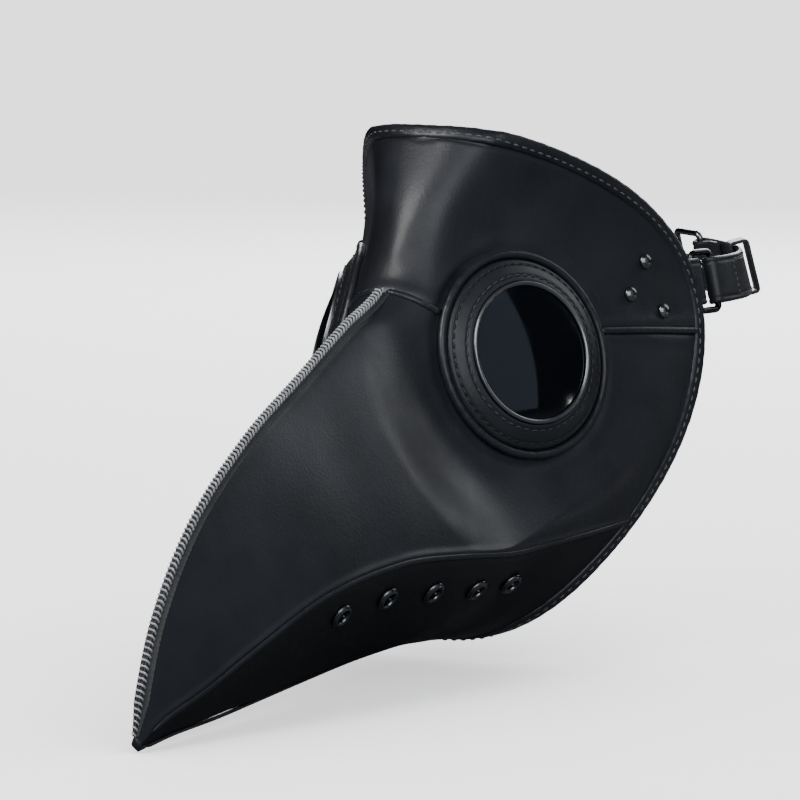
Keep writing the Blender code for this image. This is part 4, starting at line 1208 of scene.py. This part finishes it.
def brow_cushion():
    """The felt-covered cushion behind the brow, swollen by simulation and then sewn across."""
    low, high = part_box("forehead_pad")
    centre = (low + high) / 2
    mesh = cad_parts["forehead_pad"].data.copy()
    mesh.materials.clear()
    mesh.materials.append(FELT)
    for vertex in mesh.vertices:
        vertex.co = centre + (vertex.co - centre) * CUSHION_SHRINK
    obj = link("brow_cushion", mesh)
    remesh = obj.modifiers.new("remesh", "REMESH")
    remesh.mode = "VOXEL"
    remesh.voxel_size = CUSHION_VOXEL * MM
    fresh_mesh(obj)
    start = points_of(obj.data)
    swell(obj)
    pillow(obj, start)
    subdivide = obj.modifiers.new("smooth", "SUBSURF")
    subdivide.levels = 1
    subdivide.render_levels = 1
    fresh_mesh(obj)
    obj.data.shade_smooth()
    fit(obj, "grey_foam", "forehead_pad")


def points_of(mesh):
    points = np.empty(len(mesh.vertices) * 3)
    mesh.vertices.foreach_get("co", points)
    return points.reshape(-1, 3) / MM


def swell(obj):
    """Air pressure fills the cover step by step."""
    cloth = obj.modifiers.new("cloth", "CLOTH")
    settings = cloth.settings
    settings.quality = 8
    settings.use_pressure = True
    settings.uniform_pressure_force = 4
    settings.mass = 0.2
    settings.tension_stiffness = 40
    settings.compression_stiffness = 40
    settings.bending_stiffness = 2
    settings.effector_weights.gravity = 0
    cloth.collision_settings.use_collision = False
    for step in range(1, CUSHION_STEPS + 1):
        bpy.context.scene.frame_set(step)
    fresh_mesh(obj)
    bpy.context.scene.frame_set(1)


def cushion_face(across, upward):
    """How far the cushion's face falls below its highest plane, at shares of its half sizes."""
    groove = sum(hump(across, line, QUILT_WIDTH) for line in QUILT_LINES)
    groove = groove * (1 - smooth_step((np.abs(upward) - 0.78) / 0.15))
    edge = smooth_step((np.maximum(np.abs(across), np.abs(upward)) - 0.72) / 0.3)
    return CUSHION_CROWN * (across**2 + upward**2) + QUILT_DEPTH * groove + 0.9 * edge


def pillow(obj, start):
    """Caps the swelling, keeps it off the brow plane, crowns the face and draws in two sewn lines."""
    middle, half = cushion_box()
    top = middle[1] + half[1]
    now = points_of(obj.data)
    if len(now) == len(start):
        shift = now - start
        size = np.linalg.norm(shift, axis=-1, keepdims=True)
        now = start + shift * np.minimum(1, CUSHION_SWELL / np.maximum(size, 1e-6))
    across, _, upward = ((now - middle) / half).T
    face = smooth_step((now[:, 1] - top + 5) / 4)
    now[:, 1] = np.minimum(now[:, 1], top - 0.02) - face * cushion_face(across, upward)
    obj.data.vertices.foreach_set("co", (now * MM).ravel())
    obj.data.update()


def quilting():
    """The thread of the cushion's two sewn lines."""
    middle, half = cushion_box()
    upward = np.linspace(-0.8, 0.8, 30)
    normals = np.tile((0.0, 1.0, 0.0), (len(upward), 1))
    for number, across in enumerate(QUILT_LINES, 1):
        line = middle + half * np.stack((np.full(30, across), np.ones(30), upward), -1)
        line[:, 1] -= cushion_face(across, upward)
        sew(f"cushion_quilting_{number}", line, normals, GREY_THREAD, QUILT_STITCH)


def cushion_piping():
    """A sewn edge round the flat face of the cushion."""
    middle, half = cushion_box()
    angle = turns(160)
    x = middle[0] + (half[0] - 0.7) * signed_power(np.cos(angle), CUSHION_CORNER)
    z = middle[2] + (half[2] - 0.7) * signed_power(np.sin(angle), CUSHION_CORNER)
    line = np.stack((x, np.full(len(angle), -1.9), z), -1)
    depth = (0, 1, 0)
    across = unit(np.cross(depth, tangents(line, closed=True)))
    obj = swept("brow_cushion_piping", line, across, depth, circle(CUSHION_PIPING, 12), FELT, closed=True)
    fit(obj, "grey_foam")


# ---------------------------------------------------------------- head strap


class Spot:
    """A place on a strap: its point and its directions back along it, out and up."""

    def __init__(self, point, back):
        level_out = np.array((back[1], -back[0], 0))
        rise = np.array((0, 0, 1))
        self.point = point
        self.back = back
        self.up = rise * math.cos(STRAP_TILT) - level_out * math.sin(STRAP_TILT)
        self.out = level_out * math.cos(STRAP_TILT) + rise * math.sin(STRAP_TILT)

    def at(self, along, outward, upward=0.0):
        return self.point + self.back * along + self.out * outward + self.up * upward


def tab_around(station):
    """Where the strap's height crosses a section."""
    crown_up = rows_at(CROWN, station)[1]
    keel_up = rows_at(KEEL, station)[1]
    return (crown_up - STRAP_HEIGHT) / (crown_up - keel_up)


def tab_line(station):
    """The strap tab under the temple: points, outward and across directions."""
    around = tab_around(station)
    normals = skin_normal(station, around)
    before = station - 0.01
    later = np.minimum(station + 0.01, 1)
    along = unit(skin(later, tab_around(later)) - skin(before, tab_around(before)))
    return skin(station, around) - normals * TAB_DEPTH, normals, unit(np.cross(normals, along))


def tab_spot(along=0.0):
    """A place on the tab, measured back from where it turns round the front bar of the loop."""
    points = tab_line(np.array((0.94, 1.0)))[0]
    back = points[1] - points[0]
    back[2] = 0
    back = unit(back)
    return Spot(points[1] + back * (TAB_REACH + along), back)


def head_points():
    """The level curve of the strap from its hinge bar round the back of the head."""
    start = tab_spot(LOOP_LENGTH)
    end = np.array((0, HEAD_BACK + BROW_POINT[1], start.point[2]))
    arrive = np.array((-HEAD_ROUNDNESS, 0, 0))
    share = np.linspace(0, 1, 241)[:, None]
    half = hermite(start.point, start.back * HEAD_ROUNDNESS, end, arrive, share)
    return np.vstack((half, half[-2::-1] * np.array((-1, 1, 1))))


HEAD = head_points()
HEAD_TRAVEL = lengths_along(HEAD)


def head_spot(arc):
    """The place this far round the head from the hinge bar."""
    point = between(arc, HEAD_TRAVEL, HEAD)
    if arc < 0:
        point = HEAD[0] + unit(HEAD[1] - HEAD[0]) * arc
    reach = 0.6
    ahead = between(arc + reach, HEAD_TRAVEL, HEAD)
    return Spot(point, unit(ahead - between(arc - reach, HEAD_TRAVEL, HEAD)))


def strap_step(spot, along=0.0, outward=0.0, turn=0.0, half=STRAP_HALF):
    """A step of a strap: its point, the leather's outward direction, across direction, half width."""
    thick = spot.out * math.cos(turn) + spot.back * math.sin(turn)
    return spot.at(along, outward), thick, spot.up, half


def fold_steps(spot_along, direction, leaf):
    """The leather round a bar and its inner leaf. Direction is 1 when it turns at its rear."""
    spot = spot_along(0)
    steps = []
    for turn in np.linspace(0, math.pi, 19):
        along = FOLD_RADIUS * math.sin(turn) * direction
        outward = FOLD_RADIUS * (math.cos(turn) - 1)
        steps.append(strap_step(spot, along, outward, turn * direction))
    for distance, depth, share in leaf:
        place = spot_along(-distance * direction)
        steps.append(strap_step(place, 0, -depth, math.pi + LEAF_LEAN * share * direction))
    return steps


def strap_section(half):
    """A strap's section: softly rounded edges and a pressed line near each edge of the outer face."""
    across = np.sin(np.linspace(-1, 1, 37) * math.pi / 2) * half
    from_edge = half - np.abs(across)
    thick = STRAP_LEATHER / 2 * (1 - 0.75 * (1 - np.clip(from_edge / 0.9, 0, 1)) ** 2)
    outer = np.stack((across, thick - 0.28 * hump(from_edge, 2.0, 0.42)), -1)
    inner = np.stack((across, -thick), -1)
    return np.vstack((outer, inner[::-1]))


def strap_mesh(name, steps, side=1):
    """A strap along its steps, eased between them."""
    lines = [np.array([step[k] for step in steps]) for k in range(3)]
    travelled = lengths_along(lines[0])
    dense = [0.0]
    for low, high in zip(travelled, travelled[1:]):
        count = max(math.ceil((high - low) / 1.2), 1)
        dense.extend(np.linspace(low, high, count + 1)[1:])
    halves = np.interp(dense, travelled, [step[3] for step in steps])
    sections = np.stack([strap_section(half) for half in halves])
    points, outward, across = (between(dense, travelled, line) for line in lines)
    directions = unit(across), unit(outward)
    return swept(name, points, *directions, sections, STRAP_SKIN, side=side, sharp=55)


def strap_run(start, end, count):
    return [strap_step(head_spot(arc)) for arc in np.linspace(start, end, count)]


def hinge_fold():
    """The front fold of a strap half, from its inner leaf's end to the outer leaf."""
    return fold_steps(head_spot, -1, STRAP_LEAF)[:0:-1]


def sew_strap(tag, end, folds, side=1):
    """Sewn lines along both edges of a strap half and across it where its inner leaves end."""
    body = tag + "_strap"
    places = [head_spot(arc) for arc in np.linspace(EDGE_STITCHES, end, 60)]
    normals = np.array([place.out for place in places])
    for number, upward in enumerate((STRAP_HALF - 2.0, 2.0 - STRAP_HALF), 1):
        line = np.array([place.at(0, STRAP_LEATHER / 2 - 0.15, upward) for place in places])
        name = f"strap_stitches_{tag}_{number}"
        sew(name, line, normals, GREY_THREAD, STRAP_STITCH, side, body=body)
    for name, arc in folds.items():
        spot = head_spot(arc)
        line = np.array([spot.at(0, STRAP_LEATHER / 2 - 0.1, up) for up in np.linspace(-7, 7, 12)])
        normals = np.tile(spot.out, (12, 1))
        sew(name, line, normals, GREY_THREAD, FOLD_STITCH, side, body=body)


def left_strap():
    """The shorter half, which holds the buckle in a fold at its rear."""

    def from_buckle(along):
        return head_spot(LEFT_STRAP_LENGTH + along)

    steps = hinge_fold() + strap_run(0, LEFT_STRAP_LENGTH, 60)[:-1]
    steps += fold_steps(from_buckle, 1, STRAP_LEAF)
    obj = strap_mesh("strap_leather_left", steps)
    points = []
    inner, outer = PRONG_SLOT_FACES
    for along in PRONG_SLOT_ENDS:
        for outward, upward in ((inner, -1), (inner, 1), (outer, 1), (outer, -1)):
            points.append(from_buckle(0).at(along, outward, upward * PRONG_SLOT_HALF))
    cut_with(obj, make("slot_cutter", points, tube_faces(2, 4), []))
    fit(obj, "black_leather", "head_strap_left", body="left_strap")
    folds = {"fold_stitches_left_1": FOLD_STITCHES, "fold_stitches_left_2": LEFT_STRAP_LENGTH - FOLD_STITCHES}
    sew_strap("left", LEFT_STRAP_LENGTH - EDGE_STITCHES, folds)


def right_strap():
    """The longer half with the rounded tongue and its row of holes."""
    tip = HEAD_TRAVEL[-1] - LEFT_STRAP_LENGTH - BUCKLE_LENGTH - LOOP_WIRE - TONGUE_CLEAR
    steps = hinge_fold() + strap_run(0, tip - TONGUE_TAPER, 110)
    for back_off in (8, 7, 6, 5, 4, 3, 2, 1.2, 0.6, 0.2, 0):
        half = 2 + (STRAP_HALF - 2) * math.sqrt(1 - (1 - back_off / TONGUE_TAPER) ** 2)
        steps.append(strap_step(head_spot(tip - back_off), half=half))
    obj = strap_mesh("strap_leather_right", steps, side=-1)
    spots = [head_spot(tip - STRAP_HOLE_FIRST - STRAP_HOLE_STEP * k) for k in range(STRAP_HOLES)]
    places = [place_at(spot.point, spot.out) for spot in spots]
    holes_through(obj, places, STRAP_HOLE_RADIUS, STRAP_CUT_DEPTH, -1, 28)
    fit(obj, "black_leather", "head_strap_right", body="right_strap")
    sew_strap("right", tip - EDGE_STITCHES, {"fold_stitches_right": FOLD_STITCHES}, -1)


def strap_tab(side):
    """The riveted leather tab inside the temple, folded round the loop's front bar."""
    station = np.linspace(TAB_FRONT, 1.0, 26)
    points, normals, across = tab_line(station)
    travelled = lengths_along(points)
    widths = TAB_HALF + (STRAP_HALF - TAB_HALF) * smooth_step((station - 0.955) / 0.035)
    front = np.sqrt(1 - (1 - np.minimum(travelled / 6, 1)) ** 2)
    widths += 6 * (front - 1)
    steps = list(zip(points, normals, across, widths)) + fold_steps(tab_spot, 1, TAB_LEAF)
    obj = strap_mesh("tab_leather_" + side_name(side), steps, side)
    fit(obj, "black_leather", "strap_tab_" + side_name(side))


def wire_loop(name, spot, length, look, side=1):
    """A rounded rectangle of wire whose first bar lies under the leather at the spot."""
    outline = round_rectangle((0, -LOOP_HALF), (length, LOOP_HALF), LOOP_CORNER, 12)[0]
    points = np.array([spot.at(along, -FOLD_RADIUS, upward) for along, upward in outline])
    across = unit(np.cross(spot.out, tangents(points, closed=True)))
    return swept(name, points, across, spot.out, circle(LOOP_WIRE, 20), look, closed=True, side=side)


def buckle():
    spot = head_spot(LEFT_STRAP_LENGTH)
    obj = wire_loop("buckle_wire", spot, BUCKLE_LENGTH, STEEL)
    fit(obj, "steel", "buckle_frame", body="buckle")
    points = []
    for angle in np.radians(np.linspace(-15, -270, 40)):
        along = PRONG_RADIUS * math.cos(angle)
        points.append(spot.at(along, PRONG_RADIUS * math.sin(angle) - FOLD_RADIUS))
    for share in np.linspace(0, 1, 24)[1:]:
        points.append(spot.at(PRONG_REACH * share, PRONG_RADIUS - FOLD_RADIUS))
    points = np.array(points)
    across = unit(np.cross(spot.up, tangents(points)))
    travelled = lengths_along(points)
    ends = np.minimum(travelled, travelled[-1] - travelled)
    sections = circle(PRONG_WIRE, 16) * np.sqrt(np.clip(0.12 + ends / 1.6, 0, 1))[:, None, None]
    obj = swept("buckle_tongue_wire", points, across, spot.up, sections, STEEL)
    fit(obj, "steel", "buckle_prong", body="prong")


def keeper():
    """The sliding leather loop that holds the tongue flat."""
    spot = head_spot(KEEPER_PLACE)
    thick = KEEPER_LEATHER / 2
    half_up = STRAP_HALF + KEEPER_SIDE_ROOM + thick
    inner = -STRAP_LEATHER / 2 - KEEPER_INNER_ROOM - thick
    outer = STRAP_LEATHER / 2 + KEEPER_OUTER_ROOM + thick
    outline, spokes = round_rectangle((-half_up, inner), (half_up, outer), KEEPER_CORNER, 9)
    centres = [spot.at(0, out, upward) for upward, out in outline]
    outward = [spot.up * upward + spot.out * out for upward, out in spokes]
    wide, hollow = KEEPER_HALF, KEEPER_HALF - 1.1
    face = ((wide, -thick), (wide, thick), (hollow, thick - 0.16))
    section = eased_outline((*face, *[(-across, up) for across, up in reversed(face)]), 0.4)
    obj = swept("keeper_leather", centres, spot.back, outward, section, STRAP_SKIN, closed=True)
    fit(obj, "black_leather", "strap_keeper", body="keeper")


# ---------------------------------------------------------------- studio


def floor_look():
    """Pale, softly mottled and lit from within for the camera, with a painted contact shadow that darkens it
    close to the mask.
    """
    look = new_look("pale_floor")
    mottled = look.mix(look.remap(look.noise(9, 4), 0.3, 0.7), (0.50, 0.50, 0.50, 1), (0.54, 0.54, 0.54, 1))
    seen = look.camera_ray()
    # Ambient occlusion dims the floor's glow near the mask: a painted contact shadow.
    near = look.node("ShaderNodeAmbientOcclusion", "AO", {"Distance": 0.16}, samples=8)
    glow_with_painted_shadow = look.remap(near, 0.35, 1, 0.45 * FLOOR_GLOW, FLOOR_GLOW)
    return look.finish(
        Base_Color=look.mix(seen, (0.12, 0.124, 0.132, 1), mottled),
        Emission_Color=(1, 1, 1, 1),
        Emission_Strength=look.multiply(seen, glow_with_painted_shadow),
        Roughness=0.9,
        Specular_IOR_Level=0.1,
    )


def floor():
    """A pale round floor just under the mask, curving up into a pale wall all the way round."""
    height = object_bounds()[0].z / MM - FLOOR_DROP
    curve = np.linspace(0, math.pi / 2, 20)
    wall = FLOOR_RADIUS + BACKDROP_RADIUS
    reach = np.concatenate(((1, 900, 2200), FLOOR_RADIUS + BACKDROP_RADIUS * np.sin(curve), (wall,)))
    rise = np.concatenate(((0, 0, 0), BACKDROP_RADIUS * (1 - np.cos(curve)), (WALL_HEIGHT,)))
    spots = (circle(1, FLOOR_SEGMENTS) * reach[:, None, None]).reshape(-1, 2)
    points = np.column_stack((spots, np.repeat(rise + height, FLOOR_SEGMENTS)))
    faces = grid_faces(len(reach), FLOOR_SEGMENTS, wrap_rows=True) + [list(range(FLOOR_SEGMENTS))]
    mesh = bpy.data.meshes.new("floor")
    mesh.from_pydata((points * MM).tolist(), [], faces)
    mesh.materials.append(floor_look())
    mesh.shade_smooth()
    link("floor", mesh)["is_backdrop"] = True


def direction(yaw, rise):
    """From the mask toward a place seen at this yaw and rise."""
    a, e = math.radians(yaw), math.radians(rise)
    return np.array((math.sin(a) * math.cos(e), -math.cos(a) * math.cos(e), math.sin(e)))


def aim(obj, yaw, rise, distance, target):
    """Stands an object off at this distance, looking at the target."""
    away = direction(yaw, rise) * distance
    obj.location = ((target + away) * MM).tolist()
    obj.rotation_mode = "QUATERNION"
    obj.rotation_quaternion = Vector((-away).tolist()).to_track_quat("-Z", "Y")


def studio():
    low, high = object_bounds()
    target = (np.array(low) + np.array(high)) / 2 / MM
    for name, yaw, rise, distance, width, height, watts, colour in LIGHTS:
        data = bpy.data.lights.new(name, "AREA")
        data.shape = "RECTANGLE"
        data.size = width * MM
        data.size_y = height * MM
        data.energy = watts
        data.color = colour
        aim(link(name, data), yaw, rise, distance, target)
    look = Look(bpy.data.worlds.new("pale_room"))
    sky = look.mix(look.camera_ray(), (0.045, 0.048, 0.053, 1), (2.6, 2.6, 2.62, 1))
    bpy.context.scene.world = look.finish("Background", Color=sky)
    camera = bpy.data.cameras.new("camera")
    camera.sensor_width = 36
    camera.lens = camera.sensor_width * CAMERA_DISTANCE / VIEW_SPAN
    camera.clip_end = 100
    obj = link("camera", camera)
    aim(obj, VIEW_YAW, VIEW_RISE, CAMERA_DISTANCE, target)
    bpy.context.scene.camera = obj


def build_all():
    for side in (1, -1):
        for piece in (beak_leather, under_leather, seam_cords, eye_cord, eye_ring, lens_parts):
            piece(side)
        for piece in (vent_grommets, temple_rivets, strap_tab):
            piece(side)
        tag = side_name(side)
        loop = wire_loop("tab_wire_loop_" + tag, tab_spot(), LOOP_LENGTH, BLACK_METAL, side)
        fit(loop, "black_metal", "strap_loop_" + tag)
    for piece in (forehead_leather, ridge_flange, tip_fold, whip_stitching, keel_cord, rear_binding):
        piece()
    for piece in (brow_cushion, cushion_piping, quilting, left_strap, right_strap, buckle, keeper):
        piece()
    floor()
    studio()


build_all()
